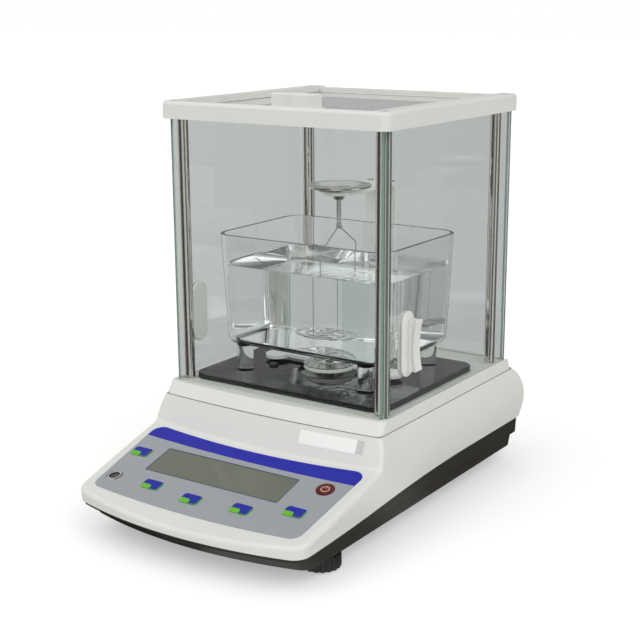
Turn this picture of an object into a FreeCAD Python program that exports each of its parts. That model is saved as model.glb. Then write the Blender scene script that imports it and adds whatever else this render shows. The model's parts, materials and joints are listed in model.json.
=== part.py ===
import FreeCAD, Part
import math
import os

import Sketcher
from FreeCAD import Placement, Rotation
from FreeCAD import Vector as V

# Benchtop density meter, millimetres, +Z up. Front is -Y, the user's right is +X.
# The origin is under the middle of the whole instrument, on the bench.

SIZES = {
    # Base: heights of the tray, the seam between tray and cover, and the cover
    "tray_floor_z": 13.6,
    "seam_front_z": 27.3,
    "seam_rear_z": 40.0,
    "seam_bend_front_y": -186.0,
    "seam_bend_rear_y": 76.0,
    "seam_gap": 0.3,
    "cover_top_z": 86.1,
    "cover_wide_z": 52.0,
    "cover_shoulder_z": 75.0,
    "case_wall": 2.5,
    # Base: the cover's widest half width and ends, and how far it tucks in elsewhere
    "cover_half_wide": 109.2,
    "cover_rear_wide": 181.6,
    "base_front_y": -178.2,
    "half_tuck_low": 4.2,
    "half_tuck_seam": 2.0,
    "half_tuck_shoulder": 1.2,
    "half_tuck_top": 5.4,
    "rear_tuck_low": 8.0,
    "rear_tuck_seam": 3.8,
    "rear_tuck_shoulder": 4.0,
    "rear_tuck_top": 15.5,
    "front_bow": 15.0,
    "front_corner_radius": 13.0,
    "rear_corner_radius": 9.0,
    "cover_edge_radius": 4.0,
    # Base: the dark tray inside the cover's lower edge
    "tray_tuck": 3.0,
    "tray_front_tuck": 1.2,
    "tray_rear_tuck": 0.6,
    "tray_front_radius": 11.0,
    "tray_rear_radius": 5.0,
    "tray_draft": 0.6,
    "tray_step": 3.0,
    "tray_step_z": 24.5,
    "tray_foot_draft": 3.2,
    "tray_foot_front_draft": 10.5,
    "tray_foot_rear_draft": 9.0,
    # Sloped panel and the riser behind it
    "panel_angle": 15.1,
    "panel_y": -119.0,
    "panel_z": 49.5,
    "riser_y": -73.5,
    "riser_z": 62.0,
    "riser_lean": 9.0,
    "riser_bow": 7.5,
    "riser_blend": 5.0,
    # Panel film, its openings and what sits in them
    "overlay_thickness": 0.6,
    "overlay_margin_top": 8.0,
    "overlay_margin_bottom": 12.9,
    "overlay_top_v": 49.4,
    "overlay_top_bow": 7.1,
    "overlay_corner_v": -39.0,
    "overlay_bow": 5.5,
    "overlay_corner_radius": 9.0,
    "fit_gap": 0.15,
    "display_left_margin": 33.0,
    "display_right_margin": 44.4,
    "display_centre_v": 8.0,
    "display_height": 30.0,
    "display_frame": 3.0,
    "key_width": 16.5,
    "key_height": 10.5,
    "key_corner_radius": 2.4,
    "key_proud": 0.7,
    "key_travel": 0.4,
    "key_depth": 5.0,
    "switch_width": 6.0,
    "power_key_radius": 7.0,
    "density_key_edge": 13.6,
    "density_key_v": 11.0,
    "mode_key_x": -48.6,
    "mode_key_v": -23.0,
    "print_key_x": -7.4,
    "print_key_v": -27.3,
    "tare_key_x": 36.9,
    "tare_key_v": -23.8,
    "zero_key_edge": 24.6,
    "zero_key_v": -12.6,
    "power_key_edge": 18.8,
    "power_key_v": 19.4,
    "level_edge": 14.6,
    "level_v": -23.4,
    "level_radius": 4.8,
    "level_ring_width": 1.8,
    # Feet
    "front_foot_inset": 18.2,
    "rear_foot_inset": 34.2,
    "front_foot_y": -112.0,
    "rear_foot_y": 140.0,
    "foot_wheel_radius": 15.2,
    "foot_wheel_thickness": 10.6,
    "foot_pad_radius": 9.5,
    "foot_pad_thickness": 1.2,
    "foot_flute_radius": 1.6,
    "foot_flutes": 18,
    "foot_stud_radius": 3.0,
    "foot_stud_length": 13.4,
    "foot_nut_wall": 2.0,
    "foot_nut_height": 8.0,
    "rear_foot_radius": 11.0,
    # Glass shield: the panes, the doors and their travel
    "plinth_height": 10.5,
    "chamber_height": 213.8,
    "glass_thickness": 4.0,
    "glass_front_y": -49.2,
    "glass_rear_y": 152.4,
    "door_outer_x": 101.4,
    "groove_gap": 0.3,
    "groove_depth": 3.5,
    # Glass shield: the white plinth under it
    "plinth_ledge": 1.8,
    "plinth_flare": 0.4,
    "plinth_front_ledge": 8.8,
    "plinth_front_flare": 5.8,
    "plinth_rear_ledge": 5.8,
    "plinth_rear_flare": 3.4,
    "plinth_bow": 5.0,
    "plinth_corner_radius": 6.0,
    "plinth_edge": 1.2,
    # Glass shield: posts and top frame
    "post_inset": 9.2,
    "post_front_inset": 10.4,
    "post_rear_inset": 17.6,
    "post_radius": 4.4,
    "post_play": 0.05,
    "post_seat": 3.5,
    "frame_height": 13.8,
    "frame_lip": 3.0,
    "frame_front_lip": 4.8,
    "frame_rear_lip": 5.8,
    "frame_corner_radius": 7.0,
    "frame_edge_radius": 3.0,
    "side_rail_width": 15.5,
    "front_rail_width": 15.0,
    "rear_rail_width": 13.0,
    "rear_rail_drop": 1.4,
    "glass_lap": 3.6,
    "roof_glass_rise": 4.6,
    "roof_glass_rebate": 5.0,
    "front_rail_crown": 5.0,
    "front_rail_fall": 2.6,
    "frame_screw_radius": 3.2,
    "frame_screw_depth": 2.0,
    # Door handles and the roof knob
    "handle_y": -18.0,
    "handle_rise": 52.0,
    "knob_y": -15.0,
    "handle_plate_length": 51.0,
    "handle_plate_width": 17.0,
    "handle_plate_thickness": 1.8,
    "handle_plate_edge": 0.7,
    "grip_length": 40.0,
    "grip_reach": 9.6,
    "grip_root": 10.0,
    "grip_waist": 6.6,
    "grip_lip": 8.6,
    "grip_groove": 0.9,
    "grip_saddle": 2.3,
    "grip_corner_radius": 2.0,
    "knob_height": 10.4,
    "knob_width": 10.4,
    "knob_scoop": 1.0,
    "knob_rib": 2.0,
    "knob_edge": 0.8,
    # Chamber floor: the sheet in the plinth and the mat under the tank
    "floor_inset": 7.0,
    "floor_front_inset": 4.6,
    "floor_rear_inset": 7.8,
    "floor_chamfer": 22.0,
    "floor_thickness": 1.5,
    "mat_margin": 9.4,
    "mat_front_margin": 18.9,
    "mat_rear_margin": 12.5,
    "mat_corner_radius": 12.0,
    "mat_thickness": 4.4,
    "mat_edge": 0.7,
    "mat_hole_radius": 26.0,
    "shaft_hole_radius": 12.0,
    # Weighing cell and the train that it carries
    "load_y": 31.0,
    "spindle_radius": 4.0,
    "spindle_collar": 4.0,
    "spindle_play": 0.05,
    "spindle_bore_depth": 14.0,
    "train_travel": 0.3,
    "cell_length": 112.0,
    "cell_width": 64.0,
    "cell_height": 40.4,
    "cell_web": 9.0,
    "cell_core": 22.0,
    "chassis_thickness": 5.5,
    "chassis_margin": 14.0,
    "yoke_clearance": 2.6,
    "yoke_thickness": 3.0,
    "yoke_half_span": 54.6,
    "yoke_bar_front_y": 35.0,
    "yoke_bar_rear_y": 43.4,
    "yoke_ear_y": 33.0,
    "yoke_ear_radius": 10.0,
    "seat_radius": 21.3,
    "seat_top_radius": 15.6,
    "seat_hollow_radius": 13.6,
    "seat_height": 4.0,
    "seat_hollow_depth": 3.0,
    "seat_screw_radius": 2.0,
    "upright_width": 27.6,
    "upright_gap": 7.9,
    "arm_rise": 142.7,
    "arm_screw_radius": 2.4,
    "pan_y": 45.5,
    "pan_radius": 26.8,
    "pan_floor_radius": 17.0,
    "pan_height": 4.6,
    "pan_skin": 1.0,
    "hanger_boss_radius": 6.6,
    "hanger_boss_height": 4.4,
    "hanger_radius": 2.0,
    "hanger_length": 24.3,
    "eye_radius": 2.6,
    "eye_hole_radius": 1.3,
    "eye_thickness": 1.4,
    "wire_radius": 0.55,
    "wire_play": 0.3,
    "bail_half_width": 26.0,
    "bail_slope": 17.6,
    "bail_height": 86.7,
    "basket_ring_width": 2.2,
    "basket_thickness": 1.2,
    # Tank on its four legs
    "tank_y": 40.3,
    "tank_half_width": 81.6,
    "tank_half_depth": 58.8,
    "tank_height": 92.8,
    "tank_taper": 3.6,
    "tank_corner_radius": 17.0,
    "tank_floor_radius": 8.0,
    "tank_wall": 3.0,
    "tank_leg_inset_x": 22.6,
    "tank_leg_inset_y": 12.0,
    "tank_leg_radius": 6.8,
    "tank_leg_height": 21.6,
    # Boards, sockets and fasteners
    "board_thickness": 1.6,
    "display_board_depth": 9.0,
    "display_board_height": 68.0,
    "main_board_width": 150.0,
    "main_board_depth": 44.0,
    "main_board_y": 122.0,
    "main_board_lift": 7.9,
    "chip_width": 18.0,
    "regulator_height": 12.0,
    "socket_recess_width": 116.0,
    "socket_recess_height": 12.6,
    "socket_recess_rise": 10.5,
    "socket_plate_lap": 2.0,
    "socket_plate_thickness": 1.5,
    "power_socket_x": -36.0,
    "power_socket_width": 9.0,
    "serial_port_x": 22.0,
    "serial_port_width": 16.8,
    "case_screw_inset": 12.2,
    "case_screw_front_y": -82.0,
    "case_screw_rear_y": 100.0,
    "case_screw_radius": 1.5,
    "case_screw_length": 12.0,
    "pillar_radius": 5.0,
}

doc = FreeCAD.newDocument("density_meter")
sheet = doc.addObject("Spreadsheet::Sheet", "Sizes")


class Size:
    """A number together with the sheet expression that it comes from."""

    def __init__(self, number, text=None):
        self.number = float(number)
        self.text = text if text else f"({self.number!r})"

    def __float__(self):
        return self.number

    def __add__(self, other):
        other = size_of(other)
        return Size(self.number + other.number, f"({self.text} + {other.text})")

    def __sub__(self, other):
        other = size_of(other)
        return Size(self.number - other.number, f"({self.text} - {other.text})")

    def __mul__(self, other):
        other = size_of(other)
        return Size(self.number * other.number, f"({self.text} * {other.text})")

    def __truediv__(self, other):
        other = size_of(other)
        return Size(self.number / other.number, f"({self.text} / {other.text})")

    def __neg__(self):
        return Size(-self.number, f"(0 - {self.text})")

    def __radd__(self, other):
        return size_of(other) + self

    def __rsub__(self, other):
        return size_of(other) - self

    def __rmul__(self, other):
        return size_of(other) * self

    def root(self):
        return Size(math.sqrt(self.number), f"sqrt({self.text})")


def size_of(value):
    return value if isinstance(value, Size) else Size(value)


class Sheet:
    """The driving dimensions, read as attributes."""


S = Sheet()
for row, (alias, number) in enumerate(SIZES.items(), 1):
    sheet.set(f"A{row}", alias.replace("_", " "))
    sheet.set(f"B{row}", str(number))
    sheet.setAlias(f"B{row}", alias)
    setattr(S, alias, Size(number, f"Sizes.{alias}"))
doc.recompute()

# What follows from the driving dimensions: heights, from the tray up
tray_inside_z = S.tray_floor_z + S.case_wall
cell_low_z = tray_inside_z + S.chassis_thickness
cell_top_z = cell_low_z + S.cell_height
plinth_top_z = S.cover_top_z + S.plinth_height
mat_top_z = plinth_top_z + S.mat_thickness
yoke_low_z = mat_top_z + S.yoke_clearance
yoke_top_z = yoke_low_z + S.yoke_thickness
arm_low_z = yoke_low_z + S.arm_rise
arm_top_z = arm_low_z + S.yoke_thickness
hanger_low_z = arm_low_z - S.hanger_length
eye_z = hanger_low_z - S.eye_hole_radius - 0.6
wire_stand = S.wire_radius * 1.25 + S.bail_slope * S.eye_thickness / (S.bail_half_width * 2)
bail_top_z = eye_z - S.eye_hole_radius + wire_stand + S.wire_play
basket_z = bail_top_z - S.bail_height
tank_low_z = mat_top_z + S.tank_leg_height
tank_top_z = tank_low_z + S.tank_height
frame_low_z = plinth_top_z + S.chamber_height
frame_top_z = frame_low_z + S.frame_height
glass_low_z = plinth_top_z - S.groove_depth + 0.2
glass_top_z = frame_low_z + S.glass_lap
roof_glass_low_z = frame_low_z + S.roof_glass_rise
roof_glass_top_z = roof_glass_low_z + S.glass_thickness

# Half widths, fronts and rears of the case
cover_half_low = S.cover_half_wide - S.half_tuck_low
cover_half_seam = S.cover_half_wide - S.half_tuck_seam
cover_half_shoulder = S.cover_half_wide - S.half_tuck_shoulder
cover_half_top = S.cover_half_wide - S.half_tuck_top
cover_rear_low = S.cover_rear_wide - S.rear_tuck_low
cover_rear_seam = S.cover_rear_wide - S.rear_tuck_seam
cover_rear_shoulder = S.cover_rear_wide - S.rear_tuck_shoulder
cover_rear_top = S.cover_rear_wide - S.rear_tuck_top
tray_half = cover_half_seam - S.tray_tuck
tray_rear = cover_rear_seam - S.tray_rear_tuck
tray_front = S.base_front_y + S.tray_front_tuck
case_screw_x = tray_half - S.case_screw_inset
overlay_half_top = S.cover_half_wide - S.overlay_margin_top
overlay_half_bottom = S.cover_half_wide - S.overlay_margin_bottom

# Places on the panel: across from the middle, and up its slope
KEYS = {
    "density": (-overlay_half_top + S.density_key_edge, S.density_key_v),
    "mode": (S.mode_key_x, S.mode_key_v),
    "print": (S.print_key_x, S.print_key_v),
    "tare": (S.tare_key_x, S.tare_key_v),
    "zero": (overlay_half_top - S.zero_key_edge, S.zero_key_v),
}
power_key_x = overlay_half_top - S.power_key_edge
level_x = -overlay_half_top + S.level_edge
display_width = overlay_half_top * 2 - S.display_left_margin - S.display_right_margin
display_x = (S.display_left_margin - S.display_right_margin) / 2

# The glass box: door faces, frame and plinth around it, posts inside it
door_inner_x = S.door_outer_x - S.glass_thickness
frame_half_width = S.door_outer_x + S.frame_lip
frame_front_y = S.glass_front_y - S.frame_front_lip
frame_rear_y = S.glass_rear_y + S.frame_rear_lip
roof_half_width = frame_half_width - S.side_rail_width + S.roof_glass_rebate - 0.5
roof_front_y = frame_front_y + S.front_rail_width - S.roof_glass_rebate + 0.5
plinth_half = S.door_outer_x + S.plinth_ledge
plinth_front = S.glass_front_y - S.plinth_front_ledge
plinth_rear = S.glass_rear_y + S.plinth_rear_ledge
post_x = S.door_outer_x - S.post_inset
post_front_y = S.glass_front_y + S.post_front_inset
post_rear_y = S.glass_rear_y - S.post_rear_inset
POSTS = [
    ("front_left", -post_x, post_front_y),
    ("front_right", post_x, post_front_y),
    ("rear_left", -post_x, post_rear_y),
    ("rear_right", post_x, post_rear_y),
]
upright_front_y = S.tank_y + S.tank_half_depth + S.upright_gap
upright_rear_y = upright_front_y + S.yoke_thickness

# The recess for the sockets in the tray's rear wall
socket_recess_low_z = tray_inside_z + S.socket_recess_rise
socket_plate_rear_y = tray_rear - S.tray_draft - S.tray_step - S.case_wall
socket_plate_half_width = S.socket_recess_width / 2 + S.socket_plate_lap
socket_plate_low_z = socket_recess_low_z - S.socket_plate_lap
socket_plate_height = S.socket_recess_height + S.socket_plate_lap * 2


# ---------------------------------------------------------------- helpers


def bind(thing, **properties):
    """Ties properties to the sheet; a double underscore stands for a dot."""
    for name, value in properties.items():
        value = size_of(value)
        thing.setExpression(name.replace("__", "."), value.text)


def place(thing, x=0, y=0, z=0):
    bind(thing, Placement__Base__x=x, Placement__Base__y=y, Placement__Base__z=z)
    return thing


def box(name, x, y, z, length, width, height):
    """A box from its low corner."""
    block = doc.addObject("Part::Box", name)
    bind(block, Length=length, Width=width, Height=height)
    return place(block, x, y, z)


def centred_box(name, x, y, z, length, width, height):
    """A box centred on x and y that stands on z."""
    return box(name, x - size_of(length) / 2, y - size_of(width) / 2, z, length, width, height)


def cylinder(name, x, y, z, radius, height):
    rod = doc.addObject("Part::Cylinder", name)
    bind(rod, Radius=radius, Height=height)
    return place(rod, x, y, z)


def cone(name, x, y, z, low_radius, top_radius, height):
    taper = doc.addObject("Part::Cone", name)
    bind(taper, Radius1=low_radius, Radius2=top_radius, Height=height)
    return place(taper, x, y, z)


def boolean(kind, name, base, tools):
    doc.recompute()
    result = doc.addObject(kind, name)
    if kind == "Part::MultiFuse":
        result.Shapes = [base] + list(tools)
        result.Refine = True
        return result
    tool = tools[0] if len(tools) == 1 else boolean("Part::MultiFuse", name + "_tools", tools[0], tools[1:])
    result.Base = base
    result.Tool = tool
    return result


def cut(name, base, *tools):
    return boolean("Part::Cut", name, base, tools)


def common(name, base, tool):
    return boolean("Part::Common", name, base, [tool])


def fuse(name, *parts):
    return boolean("Part::MultiFuse", name, parts[0], parts[1:])


def group(name, *parts):
    """Several separate solids that share one node."""
    doc.recompute()
    bundle = doc.addObject("Part::Compound", name)
    bundle.Links = list(parts)
    return bundle


def body_of(name):
    return doc.addObject("PartDesign::Body", name)


def plane(body, role):
    return [item for item in body.Origin.OriginFeatures if item.Role == role][0]


def new_sketch(body, name, offset=0, role="XY_Plane"):
    sketch = body.newObject("Sketcher::SketchObject", name)
    sketch.AttachmentSupport = [(plane(body, role), "")]
    sketch.MapMode = "FlatFace"
    bind(sketch, AttachmentOffset__Base__z=offset)
    return sketch


def constrain(sketch, kind, *arguments, value):
    value = size_of(value)
    index = sketch.addConstraint(Sketcher.Constraint(kind, *arguments, value.number))
    sketch.setExpression(f"Constraints[{index}]", value.text)


def arc_through(start, end, centre, radius):
    """The shorter arc about a centre, as three points."""
    middle = (start - centre).normalize() + (end - centre).normalize()
    return Part.Arc(start, centre + middle.normalize() * float(radius), end)


def outline(sketch, corners):
    """A closed outline. A corner is (x, y), or (x, y, (centre x, centre y), radius) before an arc."""
    points = [V(float(corner[0]), float(corner[1]), 0) for corner in corners]
    for index, corner in enumerate(corners):
        start, end = points[index], points[(index + 1) % len(points)]
        if len(corner) == 2:
            edge = sketch.addGeometry(Part.LineSegment(start, end))
        else:
            centre = V(float(corner[2][0]), float(corner[2][1]), 0)
            edge = sketch.addGeometry(arc_through(start, end, centre, corner[3]))
            constrain(sketch, "Radius", edge, value=corner[3])
        starts_here = (sketch.getPoint(edge, 1) - start).Length < 1e-6
        near, far = (1, 2) if starts_here else (2, 1)
        constrain(sketch, "DistanceX", -1, 1, edge, near, value=corner[0])
        constrain(sketch, "DistanceY", -1, 1, edge, near, value=corner[1])
        if index:
            sketch.addConstraint(Sketcher.Constraint("Coincident", previous, previous_far, edge, near))
        else:
            first, first_near = edge, near
        previous, previous_far = edge, far
    sketch.addConstraint(Sketcher.Constraint("Coincident", previous, previous_far, first, first_near))


def circle(sketch, x, y, radius):
    index = sketch.addGeometry(Part.Circle(V(float(x), float(y), 0), V(0, 0, 1), float(radius)))
    constrain(sketch, "DistanceX", -1, 1, index, 3, value=x)
    constrain(sketch, "DistanceY", -1, 1, index, 3, value=y)
    constrain(sketch, "Radius", index, value=radius)


def rounded_rectangle(low_x, low_y, high_x, high_y, radius):
    return [
        (high_x, low_y + radius),
        (high_x, high_y - radius, (high_x - radius, high_y - radius), radius),
        (high_x - radius, high_y),
        (low_x + radius, high_y, (low_x + radius, high_y - radius), radius),
        (low_x, high_y - radius),
        (low_x, low_y + radius, (low_x + radius, low_y + radius), radius),
        (low_x + radius, low_y),
        (high_x - radius, low_y, (high_x - radius, low_y + radius), radius),
    ]


def bowed_plan(half_width, rear_y, front_y, bow, front_radius, rear_radius):
    """A plan whose front edge bows out to front_y and blends into its corners."""
    half_width, rear_y, front_y = size_of(half_width), size_of(rear_y), size_of(front_y)
    bow_radius = (half_width * half_width + bow * bow) / (bow * 2)
    bow_centre_y = front_y + bow_radius
    inner_x = half_width - front_radius
    reach = bow_radius - front_radius
    inner_y = bow_centre_y - (reach * reach - inner_x * inner_x).root()
    touch_x = inner_x * bow_radius / reach
    touch_y = bow_centre_y + (inner_y - bow_centre_y) * bow_radius / reach
    rear_x = half_width - rear_radius
    return [
        (half_width, inner_y),
        (half_width, rear_y - rear_radius, (rear_x, rear_y - rear_radius), rear_radius),
        (rear_x, rear_y),
        (-rear_x, rear_y, (-rear_x, rear_y - rear_radius), rear_radius),
        (-half_width, rear_y - rear_radius),
        (-half_width, inner_y, (-inner_x, inner_y), front_radius),
        (-touch_x, touch_y, (0, bow_centre_y), bow_radius),
        (touch_x, touch_y, (inner_x, inner_y), front_radius),
    ]


def pad(body, sketch, length, both_ways=False):
    feature = body.newObject("PartDesign::Pad", sketch.Name + "_pad")
    feature.Profile = sketch
    if both_ways:
        feature.SideType = "Symmetric"
    bind(feature, Length=length)
    doc.recompute()
    return feature


def pocket(body, sketch, depth, reverse=False):
    feature = body.newObject("PartDesign::Pocket", sketch.Name + "_pocket")
    feature.Profile = sketch
    feature.Reversed = reverse
    bind(feature, Length=depth)
    doc.recompute()
    return feature


def loft(body, name, sections, ruled=False):
    """A loft up through (height, corners) sections."""
    sketches = []
    for index, (height, corners) in enumerate(sections):
        sketch = new_sketch(body, f"{name}_section{index}", height)
        outline(sketch, corners)
        sketches.append(sketch)
    doc.recompute()
    feature = body.newObject("PartDesign::AdditiveLoft", name)
    feature.Profile = sketches[0]
    feature.Sections = sketches[1:]
    feature.Ruled = ruled
    doc.recompute()
    return feature


def revolve(body, name, corners):
    """A solid of revolution about Z from an outline of (radius, height) corners."""
    sketch = new_sketch(body, name, role="XZ_Plane")
    outline(sketch, corners)
    doc.recompute()
    feature = body.newObject("PartDesign::Revolution", name + "_turned")
    feature.Profile = sketch
    feature.ReferenceAxis = (sketch, ["V_Axis"])
    feature.Angle = 360
    doc.recompute()
    return feature


def edge_names(shape, wanted):
    return [f"Edge{number}" for number, edge in enumerate(shape.Edges, 1) if wanted(edge)]


def dress_edges(kind, body, name, wanted):
    """A PartDesign fillet or chamfer on the edges that wanted() picks."""
    doc.recompute()
    base = body.Tip
    names = edge_names(base.Shape, wanted)
    feature = body.newObject(kind, name)
    feature.Base = (base, names)
    return feature


def round_edges(body, name, radius, wanted):
    bind(dress_edges("PartDesign::Fillet", body, name, wanted), Radius=radius)
    doc.recompute()


def bevel_edges(body, name, size, wanted):
    bind(dress_edges("PartDesign::Chamfer", body, name, wanted), Size=size)
    doc.recompute()


def round_solid(name, base, radius, wanted):
    """A Part fillet on a boolean's edges."""
    doc.recompute()
    feature = doc.addObject("Part::Fillet", name)
    feature.Base = base
    picked = [number for number, edge in enumerate(base.Shape.Edges, 1) if wanted(edge)]
    feature.Edges = [(number, float(radius), float(radius)) for number in picked]
    return feature


def at_height(edge, z, slack=0.02):
    span = edge.BoundBox
    return abs(span.ZMin - float(z)) < slack and abs(span.ZMax - float(z)) < slack


NODES = []


def node(name, thing):
    thing.Label = name
    if thing.Label != name:
        raise RuntimeError(f"the name {name} is taken")
    NODES.append(thing)
    return thing


# ---------------------------------------------------------------- the base's forms


def above_panel(name, inset):
    """The wedge in front of the riser and above the panel's slope, which the cover leaves out."""
    body = body_of(name + "_prism")
    lean = S.riser_lean / (S.cover_top_z - S.riser_z)
    half = S.cover_half_wide + 12
    radius = (half * half + S.riser_bow * S.riser_bow) / (S.riser_bow * 2)
    sections = []
    for height in (S.seam_front_z - 10, S.cover_top_z + 6):
        middle_y = S.riser_y + lean * (height - S.riser_z) + inset
        corner_y = middle_y + S.riser_bow
        sections.append((height, [
            (half, corner_y, (0, middle_y + radius), radius),
            (-half, corner_y),
            (-half, S.base_front_y - 20),
            (half, S.base_front_y - 20),
        ]))
    loft(body, name + "_sides", sections, ruled=True)
    slab = doc.addObject("Part::Box", name + "_slab")
    bind(slab, Length=half * 2, Width=S.cover_rear_wide * 2, Height=S.cover_top_z * 2)
    slope = math.radians(float(S.panel_angle))
    back = S.cover_rear_wide
    place(
        slab, -half, S.panel_y - back * math.cos(slope),
        S.panel_z - back * math.sin(slope) - inset / math.cos(slope),
    )
    tilt(slab)
    return common(name, body, slab)


def tilt(thing):
    """Tips a piece to the slope of the panel."""
    thing.Placement.Rotation = Rotation(V(1, 0, 0), float(S.panel_angle))
    bind(thing, Placement__Rotation__Angle=S.panel_angle)
    return thing


def height_above_panel(point):
    """How far a point lies above the panel's plane."""
    slope = math.radians(float(S.panel_angle))
    rise, run = point.z - float(S.panel_z), point.y - float(S.panel_y)
    return rise * math.cos(slope) - run * math.sin(slope)


def below_seam(name, drop=0):
    """The space under the seam between cover and tray: level, an S bend up, level."""
    front_z, rear_z = S.seam_front_z - drop, S.seam_rear_z - drop
    body = body_of(name)
    sketch = new_sketch(body, name + "_profile", role="YZ_Plane")
    half_run = (S.seam_bend_rear_y - S.seam_bend_front_y) / 2
    half_rise = (rear_z - front_z) / 2
    radius = (half_run * half_run + half_rise * half_rise) / (half_rise * 2)
    middle_y = S.seam_bend_front_y + half_run
    beyond = S.cover_rear_wide + 60
    outline(sketch, [
        (-beyond, front_z),
        (S.seam_bend_front_y, front_z, (S.seam_bend_front_y, front_z + radius), radius),
        (middle_y, front_z + half_rise, (S.seam_bend_rear_y, rear_z - radius), radius),
        (S.seam_bend_rear_y, rear_z),
        (beyond, rear_z),
        (beyond, 0),
        (-beyond, 0),
    ])
    pad(body, sketch, S.cover_half_wide * 3, both_ways=True)
    return body


def case_plan(half_width, rear_y, front_y, inset=0):
    return bowed_plan(
        half_width - inset, rear_y - inset, front_y + inset, S.front_bow,
        S.front_corner_radius - inset, S.rear_corner_radius - inset,
    )


def cover_skin():
    """The cover's barrel form, before the panel is cut away."""
    body = body_of("cover_skin")
    front = S.base_front_y
    loft(body, "cover_barrel", [
        (S.seam_front_z - 0.5, case_plan(cover_half_low, cover_rear_low, front)),
        (S.seam_rear_z, case_plan(cover_half_seam, cover_rear_seam, front)),
        (S.cover_wide_z, case_plan(S.cover_half_wide, S.cover_rear_wide, front)),
        (S.cover_shoulder_z, case_plan(cover_half_shoulder, cover_rear_shoulder, front)),
        (S.cover_top_z, case_plan(cover_half_top, cover_rear_top, front)),
    ])
    return body


def cover_core():
    """The room inside the cover."""
    body = body_of("cover_core")
    front, wall = S.base_front_y, S.case_wall
    loft(body, "cover_room", [
        (S.seam_front_z - 0.5, case_plan(cover_half_low, cover_rear_low, front, wall)),
        (S.cover_wide_z, case_plan(S.cover_half_wide, S.cover_rear_wide, front, wall)),
        (S.cover_top_z - wall, case_plan(cover_half_top, cover_rear_top, front, wall)),
    ], ruled=True)
    return body


def on_panel(thing):
    """Carries a piece that is modelled flat, with its face at z = 0, onto the panel."""
    carrier = tilt(group(thing.Name + "_on_panel", thing))
    return place(carrier, 0, S.panel_y, S.panel_z)


def key_prism(name, x, v, low_z, height, grow=0):
    """A key's rounded block, or the hole for it where grow is the clearance."""
    body = body_of(name)
    sketch = new_sketch(body, name + "_plan", low_z)
    half_width = S.key_width / 2 + grow
    half_height = S.key_height / 2 + grow
    outline(sketch, rounded_rectangle(
        x - half_width, v - half_height, x + half_width, v + half_height, S.key_corner_radius + grow
    ))
    pad(body, sketch, height)
    return body


def overlay_prism(name, low_z, height, grow=0):
    """The film's outline: straight sides, a top and a lower edge that both bow, round corners."""
    body = body_of(name)
    sketch = new_sketch(body, name + "_plan", low_z)
    top, corner = S.overlay_top_v + grow, S.overlay_corner_v - grow
    half_top, half_low = overlay_half_top + grow, overlay_half_bottom + grow
    bow, top_bow = S.overlay_bow, S.overlay_top_bow
    bow_radius = (half_low * half_low + bow * bow) / (bow * 2)
    top_radius = (half_top * half_top + top_bow * top_bow) / (top_bow * 2)
    outline(sketch, [
        (half_low, corner),
        (half_top, top, (0, top - top_bow + top_radius), top_radius),
        (-half_top, top),
        (-half_low, corner, (0, corner - bow + bow_radius), bow_radius),
    ])
    pad(body, sketch, height)
    full = float(height) - 0.01
    round_edges(
        body, name + "_corners", S.overlay_corner_radius, lambda edge: edge.BoundBox.ZLength > full
    )
    return body


def panel_openings(name, low_z, height):
    """The cuts for the keys, the level and the display through one layer of the panel."""
    gap = S.fit_gap
    holes = [
        key_prism(f"{name}_{key}", x, v, low_z, height, gap) for key, (x, v) in KEYS.items()
    ]
    holes.append(cylinder(
        f"{name}_power", power_key_x, S.power_key_v, low_z, S.power_key_radius + gap, height
    ))
    holes.append(cylinder(f"{name}_level", level_x, S.level_v, low_z, S.level_radius + gap, height))
    holes.append(centred_box(
        f"{name}_display", display_x, S.display_centre_v, low_z, display_width, S.display_height, height,
    ))
    return fuse(name, *holes)


# ---------------------------------------------------------------- the base's pieces


def top_case():
    """The white cover: rounded front lip, sloped panel with its openings, riser, shaft hole."""
    wall = S.case_wall
    outer = cut("cover_outer", cover_skin(), above_panel("panel_cut", 0))
    riser_front = float(S.riser_y) - 30

    def on_slope(edge):
        return all(abs(height_above_panel(vertex.Point)) < 0.02 for vertex in edge.Vertexes)

    def lip(edge):
        return on_slope(edge) and edge.BoundBox.YMin < riser_front

    def riser_foot(edge):
        return on_slope(edge) and edge.BoundBox.YMin > riser_front

    blended = round_solid("cover_blended", outer, S.riser_blend, riser_foot)
    rounded = round_solid("cover_rounded", blended, S.cover_edge_radius, lip)
    hollow = cut("cover_hollow", cover_core(), above_panel("panel_core", wall))
    recess = on_panel(overlay_prism("overlay_recess", -S.overlay_thickness, wall, S.fit_gap))
    holes = on_panel(panel_openings("cover_holes", -(wall * 2), wall * 3))
    shaft = cylinder(
        "cover_shaft_hole", 0, S.load_y, S.cover_top_z - wall * 2, S.shaft_hole_radius, wall * 3
    )
    shell = cut("cover_shell", rounded, hollow, below_seam("cover_seam"), recess, holes, shaft)
    return node("top_case", shell)


def screw_spots():
    """The four case screws, each with the height of the seam above it."""
    return [
        (f"{side}_{end}", x, y, seam_z)
        for side, x in (("left", -case_screw_x), ("right", case_screw_x))
        for end, y, seam_z in (
            ("front", S.case_screw_front_y, S.seam_front_z), ("rear", S.case_screw_rear_y, S.seam_rear_z))
    ]


def board_spots():
    half_x, half_y = S.main_board_width / 2 - 6, S.main_board_depth / 2 - 6
    return [(x, S.main_board_y + y) for x in (-half_x, half_x) for y in (-half_y, half_y)]


def foot_sides(inset):
    return ("left", inset - tray_half), ("right", tray_half - inset)


def tray_plan(inset):
    """The tray's plan at its rim, or inside it."""
    return bowed_plan(
        tray_half - inset, tray_rear - inset, tray_front + inset, S.front_bow,
        S.tray_front_radius, S.tray_rear_radius,
    )


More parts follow.
